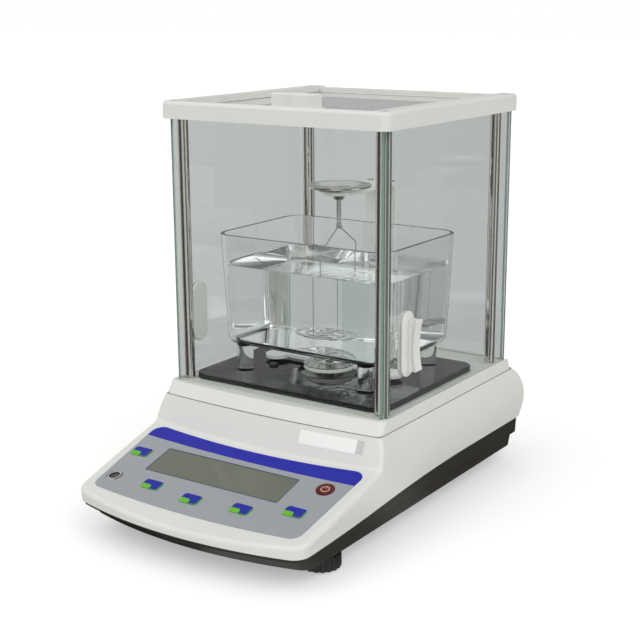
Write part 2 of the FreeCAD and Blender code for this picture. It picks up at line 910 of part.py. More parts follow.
def tray_foot_plan(inset):
    """The tray's plan at its floor, where it has drawn in."""
    return bowed_plan(
        tray_half - S.tray_foot_draft - inset, tray_rear - S.tray_foot_rear_draft - inset,
        tray_front + S.tray_foot_front_draft + S.tray_step + inset, S.front_bow,
        S.tray_front_radius, S.tray_rear_radius,
    )


def bottom_case():
    """The dark tray: a stepped skirt under the cover, with bosses for what it carries."""
    wall, step = S.case_wall, S.tray_step
    low, mid, high = S.tray_floor_z, S.tray_step_z, S.seam_rear_z + 0.5
    draft = S.tray_draft
    skirt = body_of("tray_upper")
    loft(skirt, "tray_skirt", [(mid, tray_plan(draft)), (high, tray_plan(0))], ruled=True)
    foot = body_of("tray_lower")
    loft(foot, "tray_foot", [(low, tray_foot_plan(0)), (mid, tray_plan(draft + step))], ruled=True)
    core = body_of("tray_core")
    loft(core, "tray_room", [
        (low + wall, tray_foot_plan(wall)), (high + 1, tray_plan(draft + step + wall)),
    ], ruled=True)
    seam = below_seam("tray_seam", S.seam_gap)
    trimmed = common("tray_trimmed", fuse("tray_form", skirt, foot), seam)
    shell = cut("tray_shell", trimmed, core)
    bosses, drills = [], []
    for spot, x, y, seam_z in screw_spots():
        bosses.append(cylinder(f"pillar_{spot}", x, y, low, S.pillar_radius, seam_z - low - 0.2))
        drills.append(cylinder(f"screw_hole_{spot}", x, y, 0, S.case_screw_radius + 0.2, seam_z + wall))
        drills.append(cylinder(f"screw_recess_{spot}", x, y, 0, S.case_screw_radius + 1.9, low + 2.2))
    for side, x in foot_sides(S.front_foot_inset):
        nut_radius = S.foot_stud_radius + S.foot_nut_wall
        bosses.append(cylinder(
            f"foot_boss_{side}", x, S.front_foot_y, low, nut_radius + S.case_wall, S.foot_nut_height + 1
        ))
        drills.append(cylinder(f"nut_pocket_{side}", x, S.front_foot_y, 0, nut_radius, S.seam_front_z))
    for index, (x, y) in enumerate(board_spots()):
        bosses.append(cylinder(f"board_pillar{index}", x, y, low, 3, wall + S.main_board_lift))
    drills.append(box(
        "socket_seat", -socket_plate_half_width - S.fit_gap, socket_plate_rear_y - 12,
        socket_plate_low_z - S.fit_gap, (socket_plate_half_width + S.fit_gap) * 2, 12,
        socket_plate_height + S.fit_gap * 2,
    ))
    drills.append(box(
        "socket_window", -S.socket_recess_width / 2, socket_plate_rear_y - 1, socket_recess_low_z,
        S.socket_recess_width, S.tray_step * 6, S.socket_recess_height,
    ))
    filled = fuse("tray_filled", shell, *bosses)
    return node("bottom_case", cut("tray", filled, *drills))


def case_screws():
    screws = []
    for spot, x, y, seam_z in screw_spots():
        low = S.tray_floor_z + 0.2
        head = cylinder(f"case_screw_head_{spot}", x, y, low, S.case_screw_radius + 1.7, 2)
        shank = cylinder(f"case_screw_shank_{spot}", x, y, low, S.case_screw_radius, S.case_screw_length)
        screws.append(fuse(f"case_screw_{spot}", head, shank))
    return node("case_screws", group("case_screw_set", *screws))


def keypad_overlay():
    film = overlay_prism("overlay_film", -S.overlay_thickness, S.overlay_thickness)
    holes = panel_openings("overlay_holes", -S.case_wall, S.case_wall * 2)
    return node("keypad_overlay", on_panel(cut("overlay", film, holes)))


def display():
    """The window in the film, and under it the display, which stands on the panel's board."""
    width, height = display_width - S.fit_gap * 2, S.display_height - S.fit_gap * 2
    x, v = display_x, S.display_centre_v
    window_low = -(S.case_wall - 0.5)
    window = centred_box("window_pane", x, v, window_low, width, height, -window_low - 0.05)
    node("lcd_window", on_panel(window))
    frame = S.display_frame
    block = centred_box(
        "display_block", x, v, -S.display_board_depth, width + frame * 2, height + frame * 2,
        S.display_board_depth - S.case_wall - 0.4,
    )
    face = centred_box(
        "display_face", x, v, -S.case_wall - 1, width - 1, height - 1, window_low + S.case_wall + 1
    )
    node("lcd_module", on_panel(fuse("display_body", block, face)))


def display_board():
    """The board under the panel, with a switch under each key."""
    middle_v = (S.overlay_top_v - S.overlay_top_bow + S.overlay_corner_v) / 2 - 1
    board = centred_box(
        "panel_board", 0, middle_v, -S.display_board_depth - S.board_thickness,
        overlay_half_bottom * 2, S.display_board_height, S.board_thickness,
    )
    node("display_board", on_panel(board))
    height = S.display_board_depth - S.key_depth - S.key_travel - 0.1
    places = dict(KEYS, power=(power_key_x, S.power_key_v))
    switches = [
        centred_box(f"switch_{key}", x, v, -S.display_board_depth, S.switch_width, S.switch_width, height)
        for key, (x, v) in places.items()
    ]
    node("key_switches", on_panel(group("switch_set", *switches)))


def keys():
    height = S.key_depth + S.key_proud
    for key, (x, v) in KEYS.items():
        node(f"key_{key}", on_panel(key_prism(f"{key}_cap", x, v, -S.key_depth, height)))
    cap = cylinder("power_cap", power_key_x, S.power_key_v, -S.key_depth, S.power_key_radius, height)
    node("key_power", on_panel(cap))


def level():
    """The bubble level: a ring on the film and the vial that stands on the board."""
    body = body_of("level_ring")
    inner, outer = S.level_radius - 0.4, S.level_radius + S.level_ring_width
    revolve(body, "level_ring_profile", [
        (inner, 0), (outer, 0), (outer, 0.3), (outer - 0.6, 0.6), (inner, 0.6),
    ])
    place(body, level_x, S.level_v, 0)
    node("level_bezel", on_panel(body))
    vial = cylinder(
        "vial", level_x, S.level_v, -S.display_board_depth, S.level_radius, S.display_board_depth - 0.4
    )
    node("level_vial", on_panel(vial))


def electronics():
    """The weighing cell on its chassis, and the main board on its pillars."""
    margin = S.chassis_margin * 2
    chassis = centred_box(
        "chassis", 0, S.load_y, tray_inside_z, S.cell_length + margin, S.cell_width + margin,
        S.chassis_thickness,
    )
    node("chassis_plate", chassis)
    block = centred_box("cell_block", 0, S.load_y, cell_low_z, S.cell_length, S.cell_width, S.cell_height)
    bore = cylinder(
        "cell_bore", 0, S.load_y, cell_top_z - S.spindle_bore_depth,
        S.spindle_radius + S.spindle_play, S.spindle_bore_depth + 1,
    )
    window_length = (S.cell_length - S.cell_core) / 2 - S.cell_web
    window_height = S.cell_height - S.cell_web * 2
    windows = [
        box(
            f"cell_window_{side}", x, S.load_y - S.cell_width, cell_low_z + S.cell_web,
            window_length, S.cell_width * 2, window_height,
        )
        for side, x in (("left", -S.cell_core / 2 - window_length), ("right", S.cell_core / 2))
    ]
    node("weighing_cell", cut("cell", block, bore, *windows))
    board_z = tray_inside_z + S.main_board_lift
    top_z = board_z + S.board_thickness
    y = S.main_board_y
    board = centred_box(
        "logic_board", 0, y, board_z, S.main_board_width, S.main_board_depth, S.board_thickness
    )
    chip = centred_box("logic_chip", -S.chip_width, y, top_z, S.chip_width, S.chip_width, 2)
    regulator = centred_box(
        "logic_regulator", S.main_board_width / 4, y, top_z, S.chip_width * 0.7, S.chip_width,
        S.regulator_height,
    )
    node("main_board", fuse("logic", board, chip, regulator))


def sockets():
    """The plate in the tray's rear window with the power and the serial socket."""
    centre_z = socket_recess_low_z + S.socket_recess_height / 2
    rear = socket_plate_rear_y
    plate = box(
        "recess_plate", -socket_plate_half_width, rear - S.socket_plate_thickness, socket_plate_low_z,
        socket_plate_half_width * 2, S.socket_plate_thickness, socket_plate_height,
    )
    power, serial = S.power_socket_width, S.serial_port_width
    x = S.power_socket_x
    power_hole = centred_box("power_hole", x, rear, centre_z - power / 2 - 0.1, power + 0.2, 8, power + 0.2)
    serial_hole = centred_box(
        "serial_hole", S.serial_port_x, rear, centre_z - serial / 4, serial + 0.4, 8, serial / 2
    )
    node("socket_plate", cut("recess_panel", plate, power_hole, serial_hole))
    shell = box("power_shell", x - power / 2, rear - 12, centre_z - power / 2, power, 13, power)
    mouth = cylinder("power_mouth", x, rear + 2, centre_z, power * 0.34, 9)
    pin = cylinder("power_pin", x, rear + 0.5, centre_z, 1.0, 9)
    for thing in (mouth, pin):
        thing.Placement.Rotation = Rotation(V(1, 0, 0), 90)
    node("power_socket", fuse("power_jack", cut("power_body", shell, mouth), pin))
    flange = box(
        "serial_flange", S.serial_port_x - serial * 0.92, rear, centre_z - 6.1, serial * 1.84, 1, 12.2
    )
    nose = body_of("serial_nose")
    sketch = new_sketch(nose, "serial_profile", role="XZ_Plane")
    half = serial / 2
    outline(sketch, [(half, 4.1), (-half, 4.1), (-half + 1.4, -4.1), (half - 1.4, -4.1)])
    pad(nose, sketch, 6)
    nose.Placement.Rotation = Rotation(V(0, 0, 1), 180)
    place(nose, S.serial_port_x, rear, centre_z)
    back = box("serial_back", S.serial_port_x - half + 0.4, rear - 12, centre_z - 4, serial - 0.8, 12, 8)
    node("serial_port", fuse("serial_plug", flange, nose, back))


def foot_wheel(side, x):
    """A front foot's fluted wheel with its threaded stud."""
    wheel = body_of(f"wheel_{side}")
    low = S.foot_pad_thickness + 0.2
    disc = new_sketch(wheel, f"wheel_{side}_disc", low)
    circle(disc, 0, 0, S.foot_wheel_radius)
    pad(wheel, disc, S.foot_wheel_thickness)
    flute = new_sketch(wheel, f"wheel_{side}_flute", 0)
    circle(flute, S.foot_wheel_radius + 0.6, 0, S.foot_flute_radius)
    slot = pocket(wheel, flute, low + S.foot_wheel_thickness + 1, reverse=True)
    pattern = wheel.newObject("PartDesign::PolarPattern", f"wheel_{side}_flutes")
    pattern.Originals = [slot]
    pattern.Axis = (plane(wheel, "Z_Axis"), [""])
    pattern.Angle = 360
    bind(pattern, Occurrences=S.foot_flutes)
    wheel.Tip = pattern
    place(wheel, x, S.front_foot_y, 0)
    top = low + S.foot_wheel_thickness
    stud = cylinder(
        f"stud_{side}", x, S.front_foot_y, top - 2, S.foot_stud_radius, S.foot_stud_length
    )
    node(f"foot_wheel_{side}", fuse(f"foot_screw_{side}", wheel, stud))


def feet():
    nuts = []
    for side, x in foot_sides(S.front_foot_inset):
        foot_wheel(side, x)
        disc = cone(
            f"pad_{side}", x, S.front_foot_y, 0, S.foot_pad_radius, S.foot_pad_radius - 0.8,
            S.foot_pad_thickness,
        )
        node(f"foot_pad_{side}", disc)
        low = S.tray_floor_z + 0.6
        sleeve = cylinder(
            f"nut_sleeve_{side}", x, S.front_foot_y, low, S.foot_stud_radius + S.foot_nut_wall,
            S.foot_nut_height,
        )
        thread = cylinder(
            f"nut_bore_{side}", x, S.front_foot_y, 0, S.foot_stud_radius + S.spindle_play,
            low + S.foot_nut_height + 1,
        )
        nuts.append(cut(f"nut_{side}", sleeve, thread))
    node("foot_nuts", group("nut_set", *nuts))
    rear = [
        cone(
            f"rear_foot_{side}", x, S.rear_foot_y, 0, S.rear_foot_radius - 1.2, S.rear_foot_radius,
            S.tray_floor_z,
        )
        for side, x in foot_sides(S.rear_foot_inset)
    ]
    node("rear_feet", group("rear_foot_set", *rear))


# ---------------------------------------------------------------- the glass shield


def pane_grooves(name, low_z, height, open_rear_y):
    """Grooves for the front pane, the rear pane and the two doors, whose tracks run out behind."""
    gap = S.groove_gap
    width = S.glass_thickness + gap * 2
    half_front, half_rear = door_inner_x + 0.6, door_inner_x - 1
    tools = [
        box(f"{name}_front", -half_front, S.glass_front_y - gap, low_z, half_front * 2, width, height),
        box(
            f"{name}_rear", -half_rear, S.glass_rear_y - S.glass_thickness - gap, low_z,
            half_rear * 2, width, height,
        ),
    ]
    start_y = S.glass_front_y + S.glass_thickness + 0.4
    for side, x in (("left", -S.door_outer_x - gap), ("right", door_inner_x - gap)):
        tools.append(box(f"{name}_{side}", x, start_y, low_z, width, open_rear_y - start_y, height))
    return tools


def post_sockets(name, low_z, height):
    radius = S.post_radius + S.post_play
    return [cylinder(f"{name}_{spot}", x, y, low_z, radius, height) for spot, x, y in POSTS]


def plinth_plan(flare, inset):
    """The plinth's outline: flare is 1 at its foot and 0 at its top."""
    radius = S.plinth_corner_radius - inset
    return bowed_plan(
        plinth_half + S.plinth_flare * flare - inset, plinth_rear + S.plinth_rear_flare * flare - inset,
        plinth_front - S.plinth_front_flare * flare + inset, S.plinth_bow, radius, radius,
    )


def shield_platform():
    """The white plinth, with the recess for the floor sheet, the pane grooves and the post sockets."""
    body = body_of("plinth_form")
    edge = S.plinth_edge
    loft(body, "plinth_block", [
        (S.cover_top_z, plinth_plan(1, 0)),
        (plinth_top_z - edge, plinth_plan(0, 0)),
        (plinth_top_z - edge * 0.3, plinth_plan(0, edge * 0.3)),
        (plinth_top_z, plinth_plan(0, edge)),
    ], ruled=True)
    depth = S.groove_depth
    open_rear_y = plinth_rear + S.plinth_rear_flare + 1
    tools = pane_grooves("plinth_groove", plinth_top_z - depth, depth + 1, open_rear_y)
    tools += post_sockets("post_socket", plinth_top_z - S.post_seat, S.post_seat + 1)
    tools.append(floor_prism("floor_recess", plinth_top_z - S.floor_thickness, S.plinth_height, S.fit_gap))
    tools.append(cylinder(
        "plinth_shaft_hole", 0, S.load_y, S.cover_top_z - 1, S.shaft_hole_radius, S.plinth_height + 2
    ))
    return node("shield_platform", cut("plinth", body, *tools))


def floor_prism(name, low_z, height, grow=0):
    """The chamber floor's sheet: a rectangle with its corners cut off, between the posts."""
    body = body_of(name)
    sketch = new_sketch(body, name + "_plan", low_z)
    x = S.door_outer_x - S.floor_inset + grow
    front, rear = S.glass_front_y + S.floor_front_inset - grow, S.glass_rear_y - S.floor_rear_inset + grow
    nip = S.floor_chamfer
    outline(sketch, [
        (x, front + nip), (x, rear - nip), (x - nip, rear), (-x + nip, rear),
        (-x, rear - nip), (-x, front + nip), (-x + nip, front), (x - nip, front),
    ])
    pad(body, sketch, height)
    return body


def chamber_floor():
    """The metal sheet, and the black plate on it that carries the tank."""
    sheet_metal = floor_prism("floor_sheet", plinth_top_z - S.floor_thickness, S.floor_thickness)
    hole = cylinder("floor_hole", 0, S.load_y, S.cover_top_z, S.shaft_hole_radius, S.plinth_height * 2)
    node("floor_plate", cut("floor", sheet_metal, hole))
    body = body_of("mat")
    sketch = new_sketch(body, "mat_plan", plinth_top_z)
    half = S.tank_half_width + S.mat_margin
    outline(sketch, rounded_rectangle(
        -half, S.tank_y - S.tank_half_depth - S.mat_front_margin,
        half, S.tank_y + S.tank_half_depth + S.mat_rear_margin, S.mat_corner_radius,
    ))
    pad(body, sketch, S.mat_thickness)
    bevel_edges(body, "mat_bevel", S.mat_edge, lambda edge: at_height(edge, mat_top_z))
    hole = cylinder("mat_hole", 0, S.load_y, S.cover_top_z, S.mat_hole_radius, S.plinth_height * 2)
    node("tank_base", cut("mat_plate", body, hole))


def shield_posts():
    low = plinth_top_z - S.post_seat
    for spot, x, y in POSTS:
        rod = cylinder(f"rod_{spot}", x, y, low, S.post_radius, frame_low_z + S.post_seat - low)
        node(f"post_{spot}", rod)


def panes():
    """Front and rear panes, the two side doors and the roof's sliding glass."""
    low, thick = glass_low_z, S.glass_thickness
    height = glass_top_z - low
    front = box("front_pane", -door_inner_x, S.glass_front_y, low, door_inner_x * 2, thick, height)
    node("front_glass", front)
    half = door_inner_x - 1.6
    rear = box("rear_pane", -half, S.glass_rear_y - thick, low, half * 2, thick, height)
    node("rear_glass", rear)
    start_y = S.glass_front_y + thick + 0.9
    for side, x in (("left", -S.door_outer_x), ("right", door_inner_x)):
        pane = box(f"door_pane_{side}", x, start_y, low, thick, S.glass_rear_y - 2 - start_y, height)
        node(f"{side}_door_glass", pane)
    length = frame_rear_y - S.rear_rail_width + 2 - roof_front_y
    roof = box(
        "roof_pane", -roof_half_width, roof_front_y, roof_glass_low_z, roof_half_width * 2, length, thick
    )
    node("top_door_glass", roof)


def cap_spots():
    x = frame_half_width - S.side_rail_width / 2 + 1
    front = frame_front_y + S.front_rail_width / 2 + 1
    rear = frame_rear_y - S.rear_rail_width - 1.5
    return [
        ("front_left", -x, front),
        ("front_right", x, front),
        ("rear_left", -x, rear),
        ("rear_right", x, rear),
    ]


def top_frame():
    """The white frame: a slot that lets the roof glass out behind, grooves for the panes below."""
    body = body_of("frame_form")
    sketch = new_sketch(body, "frame_plan", frame_low_z)
    outline(sketch, rounded_rectangle(
        -frame_half_width, frame_front_y, frame_half_width, frame_rear_y, S.frame_corner_radius
    ))
    pad(body, sketch, S.frame_height)
    round_edges(body, "frame_edge", S.frame_edge_radius, lambda edge: at_height(edge, frame_top_z))
    inner_half = frame_half_width - S.side_rail_width
    inner_front, inner_rear = frame_front_y + S.front_rail_width, frame_rear_y - S.rear_rail_width
    opening = box(
        "frame_opening", -inner_half, inner_front, frame_low_z - 1, inner_half * 2,
        inner_rear - inner_front, S.frame_height + 2,
    )
    relief = box(
        "rear_rail_relief", -inner_half, inner_rear - 1, frame_top_z - S.rear_rail_drop,
        inner_half * 2, S.rear_rail_width + 2, S.frame_height,
    )
    gap = S.groove_gap
    slot = box(
        "roof_slot", -roof_half_width - gap, roof_front_y - gap, roof_glass_low_z - gap,
        (roof_half_width + gap) * 2, frame_rear_y + 1 - roof_front_y, S.glass_thickness + gap * 2,
    )
    fall = body_of("front_rail_fall_wedge")
    profile = new_sketch(fall, "front_rail_fall_profile", role="YZ_Plane")
    crown_y = frame_front_y + S.front_rail_crown
    outline(profile, [
        (crown_y, frame_top_z), (inner_front, frame_top_z - S.front_rail_fall),
        (inner_front + 1, frame_top_z - S.front_rail_fall), (inner_front + 1, frame_top_z + 1),
        (crown_y, frame_top_z + 1),
    ])
    pad(fall, profile, inner_half * 2, both_ways=True)
    tools = [opening, relief, slot, fall]
    tools += pane_grooves("frame_groove", frame_low_z - 1, S.glass_lap + gap + 1, frame_rear_y + 1)
    tools += post_sockets("frame_socket", frame_low_z - 1, S.post_seat + 1)
    seat_z = frame_top_z - S.frame_screw_depth
    caps = []
    for spot, x, y in cap_spots():
        tools.append(cylinder(f"cap_seat_{spot}", x, y, seat_z, S.frame_screw_radius, S.frame_height))
        caps.append(cylinder(
            f"cap_{spot}", x, y, seat_z, S.frame_screw_radius, S.frame_screw_depth - 0.4
        ))
    node("top_frame", cut("frame", body, *tools))
    node("frame_screws", group("frame_cap_set", *caps))


def stadium(half_length, half_width):
    """A plan with two round ends."""
    end = half_length - half_width
    return [
        (end, -half_width, (end, 0), half_width),
        (half_length, 0, (end, 0), half_width),
        (end, half_width),
        (-end, half_width, (-end, 0), half_width),
        (-half_length, 0, (-end, 0), half_width),
        (-end, -half_width),
    ]


def handle_plate(name):
    """The stadium plate that is clamped on the glass, with a bevelled outer edge."""
    body = body_of(name)
    plate = new_sketch(body, name + "_plate", 0)
    outline(plate, stadium(S.handle_plate_length / 2, S.handle_plate_width / 2))
    pad(body, plate, S.handle_plate_thickness)
    bevel_edges(
        body, name + "_bevel", S.handle_plate_edge, lambda edge: at_height(edge, S.handle_plate_thickness)
    )
    return body


def grip_section(low, reach):
    """The grip's section across its length: a ribbed neck that flares to a lip, (y, z) corners."""
    root, waist, lip = S.grip_root / 2, S.grip_waist / 2, S.grip_lip / 2
    groove = (reach - low - 2.1) / 2
    chord, dip = groove / 2, S.grip_groove
    radius = (chord * chord + dip * dip) / (dip * 2)
    first, second = low + groove, low + groove * 2
    ridge = (root + waist) / 2
    bulge = radius - dip - 0.3
    return [
        (root, low, (root + bulge, low + chord), radius),
        (ridge, first, (ridge + bulge, first + chord), radius),
        (lip - 0.4, second),
        (lip, second + 0.8),
        (lip, reach),
        (-lip, reach),
        (-lip, second + 0.8),
        (-lip + 0.4, second, (-ridge - bulge, first + chord), radius),
        (-ridge, first, (-root - bulge, low + chord), radius),
        (-root, low),
    ]


def grip_moulding(name):
    """The plate with its finger grip, long way along X: its ridges and its lip dip in the middle."""
    body = handle_plate(name)
    half, corner = S.grip_length / 2, S.grip_corner_radius
    low, reach = S.handle_plate_thickness - 0.3, S.grip_reach + S.handle_plate_thickness
    sections = []
    for index, (x, top) in enumerate([(-half, reach), (0, reach - S.grip_saddle), (half, reach)]):
        sketch = new_sketch(body, f"{name}_section{index}", x, role="YZ_Plane")
        outline(sketch, grip_section(low, top))
        sections.append(sketch)
    doc.recompute()
    neck = body.newObject("PartDesign::AdditiveLoft", name + "_neck")
    neck.Profile = sections[0]
    neck.Sections = sections[1:]
    doc.recompute()
    ends = new_sketch(body, name + "_ends", 0, role="XZ_Plane")
    for sign in (-1, 1):
        outline(ends, [
            (half * sign, reach - corner, ((half - corner) * sign, reach - corner), corner),
            ((half - corner) * sign, reach),
            ((half - corner) * sign, reach + 1),
            ((half + 1) * sign, reach + 1),
            ((half + 1) * sign, reach - corner),
        ])
    rounding = body.newObject("PartDesign::Pocket", name + "_ends_cut")
    rounding.Profile = ends
    rounding.SideType = "Symmetric"
    bind(rounding, Length=S.handle_plate_width * 3)
    doc.recompute()
    return body


def roof_knob():
    """The roof's knob: a block on its plate, with a rib between two finger scoops on each side."""
    body = handle_plate("knob")
    half, side, rib = S.grip_length / 2, S.knob_width / 2, S.knob_rib / 2
    chord, dip = (half - rib) / 2, S.knob_scoop
    radius = (chord * chord + dip * dip) / (dip * 2)
    far = side + radius - dip
    plan = new_sketch(body, "knob_plan", S.handle_plate_thickness - 0.3)
    outline(plan, [
        (half, side, (rib + chord, far), radius),
        (rib, side),
        (-rib, side, (-rib - chord, far), radius),
        (-half, side),
        (-half, -side, (-rib - chord, -far), radius),
        (-rib, -side),
        (rib, -side, (rib + chord, -far), radius),
        (half, -side),
    ])
    pad(body, plan, S.knob_height + 0.3)
    top = S.handle_plate_thickness + S.knob_height
    bevel_edges(body, "knob_bevel", S.knob_edge, lambda edge: at_height(edge, top))
    return body


def handles():
    """Each door's outer grip and inner plate clamp its glass; a knob sits on the roof's."""
    outward = {
        -1: Rotation(V(0, 0, 1), V(0, 1, 0), V(-1, 0, 0), "XYZ"),
        1: Rotation(V(0, 0, 1), V(0, -1, 0), V(1, 0, 0), "XYZ"),
    }
    centre_z = plinth_top_z + S.handle_rise
    for side, sign in (("left", -1), ("right", 1)):
        grip = grip_moulding(f"grip_{side}")
        grip.Placement.Rotation = outward[sign]
        place(grip, S.door_outer_x * sign, S.handle_y, centre_z)
        node(f"{side}_door_handle", grip)
        plate = handle_plate(f"backing_{side}")
        plate.Placement.Rotation = outward[-sign]
        place(plate, door_inner_x * sign, S.handle_y, centre_z)
        node(f"{side}_door_inner_plate", plate)
    knob = place(roof_knob(), 0, S.knob_y, roof_glass_top_z)
    node("top_door_knob", knob)


# ---------------------------------------------------------------- the weighing train


def spindle():
    """The shaft from the weighing cell up to the yoke."""
    low = cell_top_z - S.spindle_bore_depth + S.train_travel * 2
    shaft = cylinder("spindle_shaft", 0, S.load_y, low, S.spindle_radius, yoke_low_z - low)
    collar_radius = S.spindle_radius + S.spindle_collar
    collar = cylinder("spindle_collar", 0, S.load_y, yoke_low_z - 3, collar_radius, 3)
    node("cell_spindle", fuse("spindle", shaft, collar))


def yoke():
    """The flat yoke over the spindle, the upright behind the tank and the arm over it."""
    low, thick, half = yoke_low_z, S.yoke_thickness, S.upright_width / 2
    span = S.yoke_half_span
    bar_depth = S.yoke_bar_rear_y - S.yoke_bar_front_y
    bar = box("yoke_bar", -span, S.yoke_bar_front_y, low, span * 2, bar_depth, thick)
    ears = [
        cylinder(f"yoke_ear_{side}", x, S.yoke_ear_y, low, S.yoke_ear_radius, thick)
        for side, x in (("left", -span), ("right", span))
    ]
    disc = cylinder("yoke_disc", 0, S.load_y, low, S.seat_radius, thick)
    web = box("yoke_web", -half, S.load_y, low, S.upright_width, upright_rear_y - S.load_y, thick)
    flat = fuse("yoke_flat", bar, *ears, disc, web)
    hole = cylinder("yoke_hole", 0, S.load_y, low - 1, S.seat_screw_radius + 0.1, thick + 2)
    node("yoke_base", cut("yoke_foot", flat, hole))
    post = box(
        "yoke_post", -half, upright_front_y, yoke_top_z, S.upright_width, thick, arm_low_z - yoke_top_z
    )
    node("yoke_upright", post)
    strip = box("arm_strip", -half, S.pan_y, arm_low_z, S.upright_width, upright_rear_y - S.pan_y, thick)
    nose = cylinder("arm_nose", 0, S.pan_y, arm_low_z, half, thick)
    node("yoke_arm", fuse("arm", strip, nose))
    screws = [
        cylinder(
            f"arm_screw_{side}", x, upright_front_y + thick / 2, arm_top_z, S.arm_screw_radius, 1.4
        )
        for side, x in (("left", -half * 0.65), ("right", half * 0.65))
    ]
    node("yoke_screws", group("yoke_screw_set", *screws))


def seat():
    """The dished seat over the spindle, and the screw that holds it."""
    body = body_of("seat_ring")
    low, hole = yoke_top_z, S.seat_screw_radius + 0.1
    top = low + S.seat_height
    floor = top - S.seat_hollow_depth
    revolve(body, "seat_profile", [
        (hole, low), (S.seat_radius, low), (S.seat_radius, low + 0.8), (S.seat_top_radius, top),
        (S.seat_hollow_radius, top), (S.seat_hollow_radius - 1.2, floor), (hole, floor),
    ])
    place(body, 0, S.load_y, 0)
    node("pan_seat", body)
    head = cylinder("seat_screw_head", 0, S.load_y, floor, S.seat_screw_radius + 1.4, 2.2)
    shank = cylinder(
        "seat_screw_shank", 0, S.load_y, yoke_low_z, S.seat_screw_radius, floor + 1 - yoke_low_z
    )
    node("seat_screw", fuse("seat_bolt", head, shank))


def air_pan():
    body = body_of("dish")
    low, skin = arm_top_z, S.pan_skin
    floor_radius, rim = S.pan_floor_radius, S.pan_radius
    top = low + S.pan_height
    revolve(body, "dish_profile", [
        (0, low), (floor_radius, low), (rim - 1.6, top - skin), (rim, top - skin), (rim, top),
        (rim - 2.2, top), (floor_radius - 0.6, low + skin), (0, low + skin),
    ])
    place(body, 0, S.pan_y, 0)
    node("air_pan", body)


def hanger():
    """The stem under the arm, with the eye that the bail hangs in."""
    body = body_of("stem")
    top, low, radius = arm_low_z, hanger_low_z, S.hanger_radius
    boss_low = top - S.hanger_boss_height
    boss_radius = S.hanger_boss_radius
    revolve(body, "stem_profile", [
        (0, low), (radius - 0.6, low), (radius, low + 0.8), (radius, boss_low),
        (boss_radius - 2.4, boss_low), (boss_radius, top), (0, top),
    ])
    place(body, 0, S.pan_y, 0)
    thick = S.eye_thickness
    disc = cylinder("eye_disc", 0, S.pan_y + thick / 2, eye_z, S.eye_radius, thick)
    hole = cylinder("eye_hole", 0, S.pan_y + thick, eye_z, S.eye_hole_radius, thick * 2)
    for thing in (disc, hole):
        thing.Placement.Rotation = Rotation(V(1, 0, 0), 90)
    node("hanger", cut("hanger_rod", fuse("hanger_form", body, disc), hole))


def basket():
    """The wire bail that hangs in the eye, and the ringed tray under water that it carries."""
    knee_z = bail_top_z - S.bail_slope
    foot_z = basket_z + S.basket_thickness
    half = S.bail_half_width
    corners = [(-half, foot_z), (-half, knee_z), (0, bail_top_z), (half, knee_z), (half, foot_z)]
    wires = [
        wire_run(f"bail_run{index}", start, end)
        for index, (start, end) in enumerate(zip(corners, corners[1:]))
    ]
    for index, (y, z) in enumerate(corners[1:4]):
        bend = doc.addObject("Part::Sphere", f"bail_bend{index}")
        bind(bend, Radius=S.wire_radius)
        wires.append(place(bend, 0, S.pan_y + y, z))
    node("basket_bail", fuse("bail", *wires))
    width, thick = S.basket_ring_width, S.basket_thickness
    outer = half + width / 2
    bars = []
    for index, share in enumerate((1.0, 0.66, 0.33)):
        disc = cylinder(f"ring_disc{index}", 0, S.pan_y, basket_z, outer * share, thick)
        hole = cylinder(f"ring_hole{index}", 0, S.pan_y, basket_z - 1, outer * share - width, thick + 2)
        bars.append(cut(f"ring{index}", disc, hole))
    reach = outer * 2 - 1
    bars.append(centred_box("spoke_x", 0, S.pan_y, basket_z, reach, 1.6, thick))
    bars.append(centred_box("spoke_y", 0, S.pan_y, basket_z, 1.6, reach, thick))
    node("basket_tray", fuse("tray_rings", *bars))


def wire_run(name, start, end):
    """A straight run of wire in the bail's plane, between two (y, z) points."""
    run_y, run_z = size_of(end[0]) - start[0], size_of(end[1]) - start[1]
    rod = doc.addObject("Part::Cylinder", name)
    bind(rod, Radius=S.wire_radius, Height=(run_y * run_y + run_z * run_z).root())
    rod.Placement.Rotation = Rotation(V(0, 0, 1), V(0, float(run_y), float(run_z)))
    return place(rod, 0, S.pan_y + start[0], start[1])


# ---------------------------------------------------------------- the tank


def tank_form(name, low_z, top_z, inset):
    """The tank's tapering block, with its corners and its floor edge rounded."""
    body = body_of(name)
    height = top_z - low_z
    half_width, half_depth = S.tank_half_width - inset, S.tank_half_depth - inset
    wedge = body.newObject("PartDesign::AdditiveWedge", name + "_block")
    bind(wedge, Xmin=-half_width + S.tank_taper, Xmax=half_width - S.tank_taper)
    bind(wedge, Zmin=-half_depth + S.tank_taper, Zmax=half_depth - S.tank_taper)
    bind(wedge, X2min=-half_width, X2max=half_width, Z2min=-half_depth, Z2max=half_depth)
    bind(wedge, Ymin=0, Ymax=height)
    wedge.Placement.Rotation = Rotation(V(1, 0, 0), 90)
    full = float(height) - 0.01
    round_edges(
        body, name + "_corners", S.tank_corner_radius - inset, lambda edge: edge.BoundBox.ZLength > full
    )
    round_edges(
        body, name + "_floor_edge", S.tank_floor_radius - inset, lambda edge: at_height(edge, 0)
    )
    return place(body, 0, S.tank_y, low_z)


